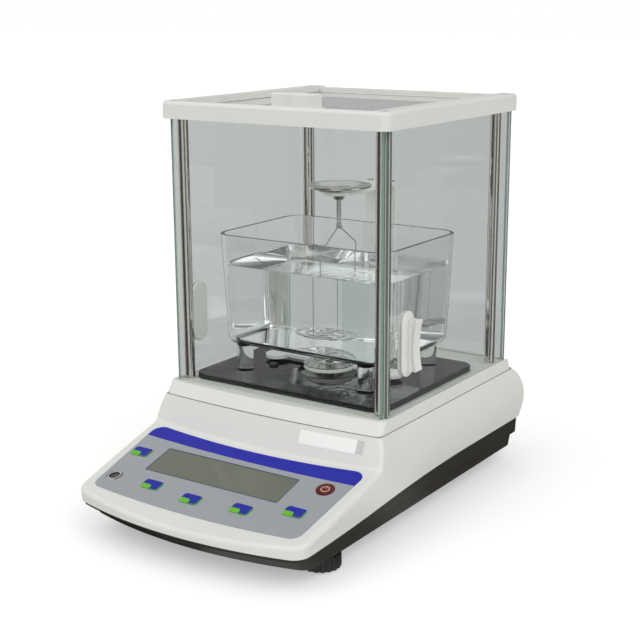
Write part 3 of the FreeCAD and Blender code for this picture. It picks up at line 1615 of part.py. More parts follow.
def tank():
    wall = S.tank_wall
    outer = tank_form("tank_outer", tank_low_z, tank_top_z, 0)
    inner = tank_form("tank_inner", tank_low_z + wall, tank_top_z + wall, wall)
    node("tank", cut("tank_shell", outer, inner))
    leg_x = S.tank_half_width - S.tank_leg_inset_x
    leg_y = S.tank_half_depth - S.tank_leg_inset_y
    legs = []
    for side, x in (("left", -leg_x), ("right", leg_x)):
        for end, y in (("front", S.tank_y - leg_y), ("rear", S.tank_y + leg_y)):
            legs.append(cylinder(
                f"leg_{side}_{end}", x, y, mat_top_z, S.tank_leg_radius, S.tank_leg_height
            ))
    node("tank_legs", group("leg_set", *legs))


# ---------------------------------------------------------------- the whole


def check():
    """Stops at any object that failed, and at any node without sound solids."""
    for thing in doc.Objects:
        if "Invalid" in thing.State or "Error" in thing.State:
            raise RuntimeError(f"{thing.Name} failed: {thing.State}")
    for thing in NODES:
        shape = thing.Shape
        if shape.isNull() or not shape.isValid() or not shape.Solids:
            raise RuntimeError(f"{thing.Label} has no sound solid")


def write():
    os.makedirs("parts", exist_ok=True)
    for thing in NODES:
        thing.Shape.exportStep(f"parts/{thing.Label}.step")


bottom_case()
top_case()
keypad_overlay()
display()
display_board()
keys()
level()
electronics()
sockets()
case_screws()
feet()
shield_platform()
chamber_floor()
shield_posts()
panes()
top_frame()
handles()
spindle()
yoke()
seat()
air_pan()
hanger()
basket()
tank()
doc.recompute()
check()
write()
for thing in NODES:
    print(f"{thing.Label:24s} {len(thing.Shape.Solids)} solids {thing.Shape.Volume / 1000:9.2f} cm3")
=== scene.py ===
# %% [markdown]
# # A benchtop density meter
# This instrument weighs a sample twice: on a small pan in air, and in a wire basket under water.
# Its parts come from CAD as solids that already have their true sizes. This file gives each of
# them its finish, and adds the fine things that a solid model leaves out: the water, the prints,
# a label and a screw head.

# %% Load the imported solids
import json
import math

import bmesh
import bpy
from mathutils import Matrix, Vector

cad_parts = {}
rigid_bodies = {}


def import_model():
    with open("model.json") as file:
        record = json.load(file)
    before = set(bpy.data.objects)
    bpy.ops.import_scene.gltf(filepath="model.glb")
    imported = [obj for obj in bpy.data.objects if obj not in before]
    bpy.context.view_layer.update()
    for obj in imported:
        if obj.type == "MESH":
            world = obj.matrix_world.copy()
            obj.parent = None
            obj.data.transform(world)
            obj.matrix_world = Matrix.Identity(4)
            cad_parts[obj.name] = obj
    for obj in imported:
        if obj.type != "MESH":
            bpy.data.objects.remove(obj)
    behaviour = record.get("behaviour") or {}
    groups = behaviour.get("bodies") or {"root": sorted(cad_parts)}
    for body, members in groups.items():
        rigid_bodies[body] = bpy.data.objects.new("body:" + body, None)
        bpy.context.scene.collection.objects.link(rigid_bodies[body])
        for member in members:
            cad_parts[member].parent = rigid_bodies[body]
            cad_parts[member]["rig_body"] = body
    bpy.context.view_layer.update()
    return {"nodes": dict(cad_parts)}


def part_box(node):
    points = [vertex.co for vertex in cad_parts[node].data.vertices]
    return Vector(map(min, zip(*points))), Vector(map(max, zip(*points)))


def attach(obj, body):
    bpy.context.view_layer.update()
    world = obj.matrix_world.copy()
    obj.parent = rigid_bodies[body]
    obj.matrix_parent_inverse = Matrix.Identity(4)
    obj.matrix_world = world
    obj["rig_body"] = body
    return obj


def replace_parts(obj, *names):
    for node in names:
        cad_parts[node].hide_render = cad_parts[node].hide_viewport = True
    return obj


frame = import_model()
MM = 0.001
BODY_OF = {name: node["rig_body"] for name, node in frame["nodes"].items()}

# %% [markdown]
# ## Camera
# The view is from the right front and a little above. A long lens, as for catalogue pictures,
# keeps the upright edges nearly parallel. The camera is placed by turning it about the vertical,
# tipping it down and rolling it very slightly.

# %% Add the camera
CAMERA_PLACE = Vector((0.5727, -0.8303, 0.4029))
CAMERA_TURN = math.radians(34.098)
CAMERA_DIP = math.radians(14.104)
CAMERA_ROLL = math.radians(-0.296)
LENS_MM, SENSOR_MM = 72.52, 36.0

view = bpy.data.cameras.new("camera")
view.lens = LENS_MM
view.sensor_width = SENSOR_MM
camera = bpy.data.objects.new("camera", view)
camera.matrix_world = (
    Matrix.Translation(CAMERA_PLACE)
    @ Matrix.Rotation(CAMERA_TURN, 4, "Z")
    @ Matrix.Rotation(math.pi / 2 - CAMERA_DIP, 4, "X")
    @ Matrix.Rotation(CAMERA_ROLL, 4, "Z")
)
bpy.context.scene.collection.objects.link(camera)
bpy.context.scene.camera = camera
bpy.context.scene.view_settings.view_transform = "Standard"
print("camera", round((CAMERA_PLACE - Vector((0, 0, 0.16))).length, 3), "m from the instrument")

# %% [markdown]
# ## Small helpers for materials
# Colours are picked on a screen as sRGB hex numbers, but the renderer adds up light in linear
# values, so one function turns them. A second adds a shader node with its settings and its
# links, which keeps each recipe below to a few lines. Two more lay one thing over another: a
# colour over a material's own colour, as a print lies on its ground, and a shader over a shader.


# %% Colour and node helpers
def linear(hex_colour):
    """An sRGB hex colour as linear RGBA."""
    channels = [int(hex_colour[i:i + 2], 16) / 255 for i in (1, 3, 5)]
    return [c / 12.92 if c <= 0.04045 else ((c + 0.055) / 1.055) ** 2.4 for c in channels] + [1.0]


def add(tree, kind, inputs=None, **settings):
    """Adds a node. An input is a number, a colour or another node's output."""
    node = tree.nodes.new("ShaderNode" + kind)
    for name, value in settings.items():
        setattr(node, name, value)
    for name, value in (inputs or {}).items():
        if isinstance(value, bpy.types.NodeSocket):
            tree.links.new(value, node.inputs[name])
        else:
            node.inputs[name].default_value = value
    return node


def new_finish(name, **inputs):
    """A material with its Principled shader, and the Object coordinates for its patterns."""
    material = bpy.data.materials.new(name)
    material.use_nodes = True
    tree = material.node_tree
    shader = tree.nodes["Principled BSDF"]
    for key, value in inputs.items():
        shader.inputs[key.replace("_", " ")].default_value = value
    place = add(tree, "TexCoord").outputs["Object"]
    return material, tree, shader, place


def over(tree, mask, colour):
    """Lays a colour over a material's base colour, where the mask is 1."""
    base = tree.nodes["Principled BSDF"].inputs["Base Color"]
    below = base.links[0].from_socket
    layer = add(tree, "Mix", {0: mask, 6: below, 7: linear(colour)}, data_type="RGBA")
    tree.links.new(layer.outputs[2], base)


def pick(tree, mask, otherwise, chosen):
    """The chosen shader where the mask is 1, and the other one elsewhere."""
    return add(tree, "MixShader", {0: mask, 1: otherwise, 2: chosen}).outputs[0]


print("linear white:", [round(c, 3) for c in linear("#D9DAD5")])

# %% [markdown]
# ## Light and floor
# Shiny rods and glass show the room more than they show lamps. A real studio surrounds such an
# object with white cloth, and hangs black cards where a metal edge has to read dark. Here the
# floor and the world do both. A ray that has met a mirror surface sees upright bright and dark
# cards all round, a ray that came straight through glass sees a grey backdrop, and everything
# else sees plain white. A ray that crosses two panes, the tank and its water changes medium ten
# times, so more bounces are allowed.


# %% Cards and light paths
# A card has a middle and half a width in degrees, seen from above, and a brightness.
CARDS = ((-175, 17, 0.95), (-65, 20, 0.75), (5, 14, 0.95), (-115, 12, 0.02), (125, 34, 0.44))
BETWEEN_CARDS = 0.13
CARD_EDGE_IN, CARD_EDGE_OUT = 2, 3
MOST_CROSSINGS = 5.5
MOST_BOUNCES = 32


def card_ring(tree, x, y):
    """How bright the ring of cards is in a direction, seen from above."""
    around = add(tree, "Math", {0: y, 1: x}, operation="ARCTAN2")
    shade = BETWEEN_CARDS
    for middle, half, brightness in CARDS:
        off = add(tree, "Math", {0: around.outputs[0], 1: math.radians(middle)},
                  operation="SUBTRACT")
        off = add(tree, "Math", {0: off.outputs[0], 1: math.pi, 2: -math.pi}, operation="WRAP")
        off = add(tree, "Math", {0: off.outputs[0]}, operation="ABSOLUTE")
        on_card = add(tree, "MapRange", {
            0: off.outputs[0], 1: math.radians(half - CARD_EDGE_IN),
            2: math.radians(half + CARD_EDGE_OUT), 3: 1.0, 4: 0.0})
        shade = add(tree, "Mix", {0: on_card.outputs[0], 2: shade, 3: brightness}).outputs[0]
    return shade


def mirrored(tree, path):
    """Is 1 for a ray that left a mirror surface. It is 0 for one that a matt surface scattered,
    or that has crossed so many clear surfaces that it comes from the tank or its water."""
    bounced = add(tree, "Math", {0: path.outputs["Glossy Depth"], 1: 0.5},
                  operation="GREATER_THAN")
    shallow = add(tree, "Math", {0: path.outputs["Transmission Depth"], 1: MOST_CROSSINGS},
                  operation="LESS_THAN")
    sharp = add(tree, "Math", {0: shallow.outputs[0], 1: path.outputs["Is Diffuse Ray"]},
                operation="SUBTRACT")
    sharp = add(tree, "Math", {0: sharp.outputs[0], 1: 0.0}, operation="MAXIMUM")
    return add(tree, "Math", {0: bounced.outputs[0], 1: sharp.outputs[0]},
               operation="MULTIPLY").outputs[0]


bpy.context.scene.cycles.max_bounces = MOST_BOUNCES
bpy.context.scene.cycles.transmission_bounces = MOST_BOUNCES
print(len(CARDS), "cards, and", MOST_BOUNCES, "bounces")

# %% [markdown]
# The world is what a ray meets when it leaves the scene: soft white cloth all round, and the
# cards and a bright ceiling for a ray from a mirror surface. Its parts are four plain
# backgrounds, and the kind of the ray picks one of them.

# %% World
AMBIENT = 0.62
CEILING = 0.85
CEILING_FROM, CEILING_FULL = 0.35, 0.6
BACKDROP_GREY = "#D0D1D1"

world = bpy.data.worlds.new("studio")
bpy.context.scene.world = world
world.use_nodes = True
sky = world.node_tree
sky.nodes.clear()
path = add(sky, "LightPath")
direction = add(sky, "SeparateXYZ", {0: add(sky, "TexCoord").outputs["Generated"]})
cards = card_ring(sky, direction.outputs["X"], direction.outputs["Y"])
ceiling = add(sky, "MapRange", {
    0: direction.outputs["Z"], 1: CEILING_FROM, 2: CEILING_FULL, 3: 0.0, 4: CEILING})
room = add(sky, "Math", {0: cards, 1: ceiling.outputs[0]}, operation="MAXIMUM")
soft = add(sky, "Background", {"Color": linear("#FFFFFF"), "Strength": AMBIENT})
plain = add(sky, "Background", {"Color": linear("#FFFFFF"), "Strength": 1.0})
grey = add(sky, "Background", {"Color": linear(BACKDROP_GREY), "Strength": 1.0})
mirror = add(sky, "Background", {"Color": room.outputs[0], "Strength": 1.0})
seen = pick(sky, path.outputs["Is Camera Ray"], soft.outputs[0], plain.outputs[0])
seen = pick(sky, path.outputs["Is Transmission Ray"], seen, grey.outputs[0])
seen = pick(sky, mirrored(sky, path), seen, mirror.outputs[0])
sky.links.new(seen, add(sky, "OutputWorld").inputs["Surface"])
print("world nodes:", len(sky.nodes))

# %% [markdown]
# Two windows light the instrument, one from the left front and one from the right. A sun lamp
# with a wide angle stands for a window: its light is even over the whole object, and its
# shadows are as soft as those of an overcast day.


# %% Lamps
def sun(name, comes_from, strength, spread):
    """A far lamp, as wide as a window, that lights everything evenly from one side."""
    lamp = bpy.data.lights.new(name, "SUN")
    lamp.energy, lamp.angle = strength, math.radians(spread)
    holder = bpy.data.objects.new(name, lamp)
    holder.rotation_euler = Vector(comes_from).to_track_quat("Z", "Y").to_euler()
    bpy.context.scene.collection.objects.link(holder)


sun("key_window", (-0.7, -1.1, 1.0), 0.75, 55)
sun("fill_window", (1.3, -0.6, 0.9), 1.1, 60)

# %% [markdown]
# The floor is one large white plane. To the camera it glows a little, so that it blends into
# the white beyond it and keeps only a soft shadow. It picks by the kind of ray as the world
# does, since most of what shows behind the glass is floor.

# %% Floor
FLOOR_SIZE = 24.0
FLOOR_LIFT = 0.34

bpy.ops.object.select_all(action="DESELECT")
bpy.ops.mesh.primitive_plane_add(size=FLOOR_SIZE)
floor = bpy.context.object
floor.name = "floor"
floor_finish, tree, shader, place = new_finish(
    "painted_floor", Roughness=0.9, Specular_IOR_Level=0.1)
path = add(tree, "LightPath")
tint = add(tree, "Mix", {0: path.outputs["Is Transmission Ray"], 6: linear("#E6E6E4"),
                         7: linear(BACKDROP_GREY)}, data_type="RGBA")
tree.links.new(tint.outputs[2], shader.inputs["Base Color"])
lift = add(tree, "Math", {0: path.outputs["Is Camera Ray"], 1: FLOOR_LIFT}, operation="MULTIPLY")
glow = add(tree, "Emission", {"Color": linear("#FFFFFF"), "Strength": lift.outputs[0]})
seen = add(tree, "AddShader", {0: shader.outputs[0], 1: glow.outputs[0]})
spot = add(tree, "SeparateXYZ", {0: place})
ring = card_ring(tree, spot.outputs["X"], spot.outputs["Y"])
cards = add(tree, "Emission", {"Color": ring})
seen = pick(tree, mirrored(tree, path), seen.outputs[0], cards.outputs[0])
tree.links.new(seen, tree.nodes["Material Output"].inputs["Surface"])
floor.data.materials.append(floor_finish)
print("floor", floor.dimensions.x, "m wide")

# %% [markdown]
# ## Finishes
# Moulded ABS is a satin plastic: its mould is spark-eroded, which leaves a very fine grain that
# breaks up reflections. The real grain is near 0.1 mm. It is drawn at about 0.7 mm, the finest
# that shows.


# %% Moulded plastics
CLOUD_MM = 60


def moulded(name, colour, shade, roughness, grain_mm=0.7, depth_mm=0.02):
    """A satin plastic with mould grain, and faint clouding from how it flowed."""
    material, tree, shader, place = new_finish(name, Roughness=roughness, IOR=1.53)
    grain = add(tree, "TexNoise", {
        "Vector": place, "Scale": 1 / (grain_mm * MM), "Detail": 2.0})
    cloud = add(tree, "TexNoise", {
        "Vector": place, "Scale": 1 / (CLOUD_MM * MM), "Detail": 3.0})
    tint = add(tree, "Mix", {0: cloud.outputs[0], 6: linear(colour), 7: linear(shade)},
               data_type="RGBA")
    rough = add(tree, "MapRange", {
        0: grain.outputs[0], 3: roughness * 0.88, 4: roughness * 1.2})
    bump = add(tree, "Bump", {
        "Height": grain.outputs[0], "Strength": 0.25, "Distance": depth_mm * MM})
    tree.links.new(tint.outputs[2], shader.inputs["Base Color"])
    tree.links.new(rough.outputs[0], shader.inputs["Roughness"])
    tree.links.new(bump.outputs[0], shader.inputs["Normal"])
    return material


def adjust(material, socket, value):
    """Sets one more constant of a finished material's shader."""
    material.node_tree.nodes["Principled BSDF"].inputs[socket].default_value = value


white_abs = moulded("moulded_white_abs", "#DCDDD8", "#D7D8D3", 0.42)
tray_abs = moulded("moulded_charcoal_abs", "#312E29", "#2B2824", 0.55)
adjust(tray_abs, "Specular IOR Level", 0.3)
foot_abs = moulded("moulded_black_abs", "#141413", "#0F0F0E", 0.5)
grip_abs = moulded("moulded_pale_abs", "#E4E5E1", "#DDDEDA", 0.38)
foot_rubber = moulded("moulded_black_rubber", "#161616", "#111111", 0.75, 1.2, 0.05)
print("plastics:", [m.name for m in bpy.data.materials if m.name.startswith("moulded")])

# %% [markdown]
# The white plinth stands on the white cover, and the shade in the fine seam where they meet shows
# as a dark line. The two solids touch there, so the material paints that shade as a line at that
# height.

# %% Painted shade line under the plinth
SHADE_LINE_HALF = 0.28 * MM

tree = white_abs.node_tree
height = add(tree, "SeparateXYZ", {0: add(tree, "TexCoord").outputs["Object"]}).outputs["Z"]
plinth_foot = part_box("shield_platform")[0][2]
# Painted shade: this dark line stands for the shadow in the seam under the plinth.
gap = add(tree, "Math", {0: height, 1: plinth_foot, 2: SHADE_LINE_HALF}, operation="COMPARE")
over(tree, gap.outputs[0], "#7E807B")
print("gap at", round(plinth_foot / MM, 1), "mm")

# %% [markdown]
# Stainless steel is bright and slightly grey. Drawn rod has hair lines along its length, and
# sheet has them one way, so the noise is stretched in that direction. Turned pieces here are
# small and polished, and get no direction.


# %% Steels
def brushed(name, colour, roughness, stretch, line_mm=0.5, depth_mm=0.01, metallic=1.0):
    """A metal with hair lines; stretch is how much longer they are along x, y and z."""
    material, tree, shader, place = new_finish(
        name, Base_Color=linear(colour), Metallic=metallic)
    along = add(tree, "Mapping", {"Vector": place, "Scale": [1 / s for s in stretch]})
    lines = add(tree, "TexNoise", {
        "Vector": along.outputs[0], "Scale": 1 / (line_mm * MM), "Detail": 2.0})
    rough = add(tree, "MapRange", {
        0: lines.outputs[0], 3: roughness * 0.7, 4: roughness * 1.4})
    bump = add(tree, "Bump", {
        "Height": lines.outputs[0], "Strength": 0.3, "Distance": depth_mm * MM})
    tree.links.new(rough.outputs[0], shader.inputs["Roughness"])
    tree.links.new(bump.outputs[0], shader.inputs["Normal"])
    return material


rod_steel = brushed("drawn_stainless_steel", "#D6D2CA", 0.07, (1, 1, 40), 0.5, 0.002)
sheet_steel = brushed(
    "brushed_stainless_sheet", "#F2F2EF", 0.34, (1, 1, 30), 0.6, 0.003, 0.15)
turned_steel = brushed("turned_stainless_steel", "#CFCFCC", 0.15, (1, 1, 1), 0.9, 0.001)
# Dark steel for the plate screw. On the frame's screw caps the same dark is painted shade: it
# stands for the shadow in their recessed holes.
screw_steel_and_hole_shade = brushed("dark_screw_steel_and_hole_shade", "#4A4846", 0.35, (1, 1, 1), 0.8, 0.003)
floor_steel = brushed("satin_floor_sheet", "#E2E4DF", 0.36, (40, 1, 1), 0.6, 0.004, 0.25)
cell_aluminium = brushed("machined_aluminium", "#B9BBBD", 0.35, (20, 1, 1))
nut_brass = brushed("turned_brass", "#B58E45", 0.3, (1, 1, 1))
print("steels:", len([m for m in bpy.data.materials if "steel" in m.name]))

# %% [markdown]
# Glass, acrylic and water are clear, so what shows is how they bend light and where they darken
# it. A shadow of clear glass should be faint. The renderer's shadow rays can't bend, so they are
# given a plain see-through shader with the glass's slight tint. Rays that matt surfaces scatter
# are given the same, so that the soft light of the room reaches what stands behind glass.


# %% Clear materials
def clear(name, colour, shade, ior):
    """A polished clear solid, through which lamps reach what is behind it."""
    material, tree, shader, place = new_finish(
        name, Base_Color=linear(colour), Roughness=0.0, IOR=ior, Transmission_Weight=1.0)
    shadow = add(tree, "BsdfTransparent", {"Color": linear(shade)}).outputs[0]
    rays = add(tree, "LightPath")
    seen = pick(tree, rays.outputs["Is Shadow Ray"], shader.outputs[0], shadow)
    seen = pick(tree, rays.outputs["Is Diffuse Ray"], seen, shadow)
    tree.links.new(seen, tree.nodes["Material Output"].inputs["Surface"])
    return material


float_glass = clear("float_glass", "#F9FBFA", "#FCFDFC", 1.5)
tank_acrylic = clear("moulded_acrylic", "#FAFBFB", "#FCFDFD", 1.49)
water_clear = clear("water", "#FBFDFD", "#FBFDFD", 1.333)
print("clear finishes:", [m.name for m in (float_glass, tank_acrylic, water_clear)])

# %% [markdown]
# Light that travels inside a pane is tinted by its iron, so the ground edges of the fixed panes
# read green. The edges of the sliding doors are polished and pale. Their dark core is painted
# shade:
# it stands for the dark gap behind them, seen through the edge. Both doors have the same edge,
# mirrored about the middle.

# %% Edges of the panes
PAINTED_CORE_SHARE = 0.28

green_edge = moulded("ground_glass_edge", "#8FAE9E", "#84A393", 0.35, 0.7, 0.004)
# Painted shade: this finish's base colour is the dark core, the gap behind the door seen through
# the edge.
door_edge_painted_core = moulded("polished_glass_edge_painted_core", "#7C7E77", "#74766F", 0.25, 0.7, 0.002)
for edge_finish in (green_edge, door_edge_painted_core):
    adjust(edge_finish, "Transmission Weight", 0.2)
door_low, door_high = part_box("right_door_glass")
door_middle, door_thick = (door_low[0] + door_high[0]) / 2, door_high[0] - door_low[0]
tree = door_edge_painted_core.node_tree
place = add(tree, "SeparateXYZ", {0: add(tree, "TexCoord").outputs["Object"]})
# The pale sides are laid over it, and the painted shade stays in the middle.
side = add(tree, "Math", {0: place.outputs["X"]}, operation="ABSOLUTE")
pale = add(tree, "Math", {0: side.outputs[0], 1: door_middle, 2: PAINTED_CORE_SHARE * door_thick},
           operation="COMPARE")
pale = add(tree, "Math", {0: 1.0, 1: pale.outputs[0]}, operation="SUBTRACT")
over(tree, pale.outputs[0], "#C6D4CB")
print("door edge", round(door_thick / MM, 1), "mm thick")

# %% [markdown]
# ## Dressing a solid
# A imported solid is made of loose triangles. A copy of it is taken, its doubled corners are
# merged, flat areas are joined to whole faces, and the sharp edges get the small round that
# moulding and polishing leave. Weighted normals keep large flat faces flat right up to it.


# %% The dressing helper
MERGE_WITHIN = 0.004 * MM
SOFT_STEPS = 2


def only(piece):
    """Makes one object the selected and active one."""
    bpy.ops.object.select_all(action="DESELECT")
    piece.select_set(True)
    bpy.context.view_layer.objects.active = piece


def settle(piece, body, finish):
    """Gives a finished piece its body and its material."""
    piece.data.materials.clear()
    piece.data.materials.append(finish)
    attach(piece, body)
    return piece


def dressed(node, finish, soften_mm=0.0, angle=32, flat=0.4):
    """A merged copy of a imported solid, with softened edges, that stands for it. Faces that lie
    within flat degrees of each other are joined, so a turned dish asks for a smaller number."""
    solid = frame["nodes"][node]
    piece = bpy.data.objects.new(node + "_dressed", solid.data.copy())
    bpy.context.scene.collection.objects.link(piece)
    only(piece)
    bpy.ops.object.mode_set(mode="EDIT")
    bpy.ops.mesh.select_all(action="SELECT")
    bpy.ops.mesh.remove_doubles(threshold=MERGE_WITHIN)
    bpy.ops.mesh.customdata_custom_splitnormals_clear()
    bpy.ops.mesh.dissolve_limited(angle_limit=math.radians(flat))
    bpy.ops.object.mode_set(mode="OBJECT")
    if soften_mm:
        bevel = piece.modifiers.new("soften", "BEVEL")
        bevel.width = soften_mm * MM
        bevel.segments = SOFT_STEPS
        bevel.angle_limit = math.radians(angle)
        bpy.ops.object.modifier_apply(modifier=bevel.name)
    bpy.ops.object.shade_smooth_by_angle(angle=math.radians(angle))
    weigh = piece.modifiers.new("weigh", "WEIGHTED_NORMAL")
    weigh.keep_sharp = True
    bpy.ops.object.modifier_apply(modifier=weigh.name)
    settle(piece, BODY_OF[node], finish)
    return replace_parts(piece, node)


print("helper ready for", len(frame["nodes"]), "solids")

# %% [markdown]
# The case is two mouldings, a white cover on a charcoal tray, and the white plinth and top
# frame hold the glass. Moulded edges are never sharp, so each gets a round of 0.3 to 0.4 mm.
# It is small, but it is what catches the light along every edge.

# %% Dress the case and its feet
dressed("top_case", white_abs, 0.4, 40)
dressed("shield_platform", white_abs, 0.4)
dressed("top_frame", white_abs, 0.4)
dressed("bottom_case", tray_abs, 0.3)
dressed("rear_feet", foot_rubber, 0.4)
for side in ("left", "right"):
    dressed(f"foot_wheel_{side}", foot_abs, 0.3)
    dressed(f"foot_pad_{side}", foot_rubber, 0.3)
print("case dressed")

# %% [markdown]
# The glass shield has five panes, four steel rods, and pale plastic handles. A pane is one
# solid with two finishes: its narrow upright faces are found by the direction they look in, and
# get the finish for edges.


# %% Dress the glass shield
ALONG_X, ALONG_Y = 0, 1


def glazed(pane, axis, edge_finish):
    """A pane whose narrow upright faces, which look along the given axis, have their own
    finish."""
    piece = dressed(pane, float_glass, 0.2)
    piece.data.materials.append(edge_finish)
    for face in piece.data.polygons:
        if abs(face.normal[axis]) > 0.5:
            face.material_index = 1


dressed("top_door_glass", float_glass, 0.2)
glazed("front_glass", ALONG_X, green_edge)
glazed("rear_glass", ALONG_X, green_edge)
glazed("left_door_glass", ALONG_Y, door_edge_painted_core)
glazed("right_door_glass", ALONG_Y, door_edge_painted_core)
for side in ("left", "right"):
    dressed(f"{side}_door_handle", grip_abs, 0.4)
    dressed(f"{side}_door_inner_plate", grip_abs, 0.2)
dressed("top_door_knob", grip_abs, 0.4)
for corner in ("front_left", "front_right", "rear_left", "rear_right"):
    dressed(f"post_{corner}", rod_steel)
print("panes dressed: 5")

# %% [markdown]
# The weighing kit is a bent sheet yoke with a turned pan, a hanger and a wire basket, all of
# stainless steel, round a tank of moulded acrylic. Round pieces keep all their facets, since
# joining them would leave wedges in the shading.

# %% Dress the weighing kit
KEEP_FACETS = 0.01
TURNED = ("air_pan", "pan_seat", "hanger", "basket_bail", "basket_tray", "cell_spindle",
          "yoke_screws", "seat_screw")

dressed("floor_plate", floor_steel, 0.1)
for piece in ("yoke_base", "yoke_upright", "yoke_arm"):
    dressed(piece, sheet_steel, 0.3)
for piece in TURNED:
    dressed(piece, turned_steel, flat=KEEP_FACETS)
tank = dressed("tank", tank_acrylic, 0.4)
dressed("tank_legs", tank_acrylic, 0.4)
dressed_meshes = [o.data for o in bpy.data.objects if o.name.endswith("_dressed")]
print(sum(len(mesh.polygons) for mesh in dressed_meshes), "faces")

# %% [markdown]
# ## Water
# The tank is filled to about two thirds, and the basket hangs under water. The water takes the
# tank's own inside as its mould: a copy of the tank is cut off at the water line, and its outer
# walls are deleted, so that an open bag with the form of the inside is left.

# %% Cast the water in the tank
WATER_TOP = 190.0 * MM
MENISCUS = 0.9 * MM

tank_low, tank_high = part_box("tank")
tank_middle = (Vector(tank_low) + Vector(tank_high)) / 2
water = bpy.data.objects.new("tank_water", tank.data.copy())
bpy.context.scene.collection.objects.link(water)
only(water)
bpy.ops.object.mode_set(mode="EDIT")
bpy.ops.mesh.customdata_custom_splitnormals_clear()
bpy.ops.mesh.select_all(action="SELECT")
bpy.ops.mesh.bisect(
    plane_co=(0, 0, WATER_TOP + MENISCUS), plane_no=(0, 0, 1), clear_outer=True)
bpy.ops.mesh.select_all(action="DESELECT")
skin = bmesh.from_edit_mesh(water.data)
for face in skin.faces:
    away = face.calc_center_median() - tank_middle
    outward = face.normal.x * away.x + face.normal.y * away.y
    under = face.normal.z < -0.9
    face.select = under or (outward > 0 and face.normal.z < 0.9)
bmesh.update_edit_mesh(water.data)
bpy.ops.mesh.delete(type="FACE")
bpy.ops.mesh.select_all(action="SELECT")
bpy.ops.mesh.delete_loose()
print("open bag:", len(bmesh.from_edit_mesh(water.data).faces), "faces")

# %% [markdown]
# The bag's opening is filled with one face. Water creeps up a wall a little, so its rim stands
# higher than its middle: three insets, each a step inward and a step down, draw that curve.
# Last, the whole body shrinks a little, so that it doesn't share a surface with the tank.

# %% Close the water with its skin
MENISCUS_STEPS = ((0.8, 0.55), (1.2, 0.27), (2.0, 0.08))
WATER_PLAY = 0.1 * MM

bpy.ops.mesh.select_all(action="SELECT")
bpy.ops.mesh.region_to_loop()
bpy.ops.mesh.edge_face_add()
for inward, down in MENISCUS_STEPS:
    bpy.ops.mesh.inset(thickness=inward * MM, depth=down * MM)
bpy.ops.mesh.select_all(action="SELECT")
bpy.ops.mesh.normals_make_consistent(inside=False)
bpy.ops.transform.shrink_fatten(value=-WATER_PLAY)
bpy.ops.object.mode_set(mode="OBJECT")
bpy.ops.object.shade_smooth_by_angle(angle=math.radians(40))
settle(water, BODY_OF["tank"], water_clear)
water_line = max(v.co.z for v in water.data.vertices)
print("water:", len(water.data.polygons), "faces, rim at", round(water_line / MM, 2), "mm")

# %% [markdown]
# ## Prints on the panel
# The panel's film is polyester, printed on its back and lightly textured in front. Prints are
# flat, so they belong in the material and not in the mesh. Everything on the sloping panel is
# drawn in millimetres along it: u runs across, and v runs up the slope. A Mapping node turns
# object coordinates into those.


# %% Drawing on the panel
PANEL_ANGLE = math.radians(15.1)
PANEL_Y, PANEL_Z = -119.0, 49.5


def panel_spot(node):
    """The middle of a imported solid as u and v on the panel, in millimetres."""
    x, y, z = [(low + high) / 2 / MM for low, high in zip(*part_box(node))]
    return x, (y - PANEL_Y) * math.cos(PANEL_ANGLE) + (z - PANEL_Z) * math.sin(PANEL_ANGLE)


def on_panel(tree, place, u=0.0, v=0.0):
    """Millimetres on the panel, from the spot u, v and flattened to two directions."""
    rise = PANEL_Y * math.cos(PANEL_ANGLE) + PANEL_Z * math.sin(PANEL_ANGLE)
    turned = add(tree, "Mapping", {
        "Vector": place, "Scale": [1 / MM] * 3, "Rotation": [-PANEL_ANGLE, 0, 0],
        "Location": [-u, -v - rise, 0]})
    return add(tree, "VectorMath", {0: turned.outputs[0], 1: (1, 1, 0)},
               operation="MULTIPLY").outputs[0]


def reach_of(tree, spot):
    """How far a spot is from the middle."""
    return add(tree, "VectorMath", {0: spot}, operation="LENGTH").outputs["Value"]


def inside_box(tree, spot, middle, half, round_mm):
    """Is 1 within a rectangle with rounded corners."""
    moved = add(tree, "VectorMath", {0: spot, 1: (*middle, 0)}, operation="SUBTRACT")
    folded = add(tree, "VectorMath", {0: moved.outputs[0]}, operation="ABSOLUTE")
    core = (half[0] - round_mm, half[1] - round_mm, 0)
    past = add(tree, "VectorMath", {0: folded.outputs[0], 1: core}, operation="SUBTRACT")
    past = add(tree, "VectorMath", {0: past.outputs[0], 1: (0, 0, 0)}, operation="MAXIMUM")
    return add(tree, "Math", {0: reach_of(tree, past.outputs[0]), 1: round_mm},
               operation="LESS_THAN").outputs[0]


def printed(name, colour, roughness):
    """A printed film: an even ink under a lightly textured face, drawn at 0.8 mm."""
    material, tree, shader, place = new_finish(
        name, Roughness=roughness, Specular_IOR_Level=0.2)
    grain = add(tree, "TexNoise", {"Vector": place, "Scale": 1 / (0.8 * MM), "Detail": 2.0})
    bump = add(tree, "Bump", {
        "Height": grain.outputs[0], "Strength": 0.2, "Distance": 0.004 * MM})
    tree.links.new(bump.outputs[0], shader.inputs["Normal"])
    tint = add(tree, "MapRange", {0: grain.outputs[0], 3: 0.97, 4: 1.03})
    ink = add(tree, "Mix", {0: 1.0, 6: linear(colour), 7: tint.outputs[0]},
              data_type="RGBA", blend_type="MULTIPLY")
    tree.links.new(ink.outputs[2], shader.inputs["Base Color"])
    return material, tree, place


def coat(node, finish):
    """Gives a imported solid, whose form stays, its finish."""
    slots = frame["nodes"][node].data.materials
    slots.clear()
    slots.append(finish)


print("level spot on the panel:", [round(c, 1) for c in panel_spot("level_vial")])

# %% [markdown]
# The film is grey with a blue band along its upper edge. The band's lower edge bows a little,
# as the film's upper edge does. A thin dark line frames the display window.

# %% Print the film
FILM_GREY, BAND_BLUE, FRAME_BLUE = "#9A9EA3", "#151AA0", "#2A2E5C"
BAND_MIDDLE, BAND_BOW, BAND_LOW = 20.0, 0.0003, 29.3
FRAME_MARGIN, FRAME_HALF_HEIGHT, FRAME_ROUND = 0.7, 15.7, 1.5

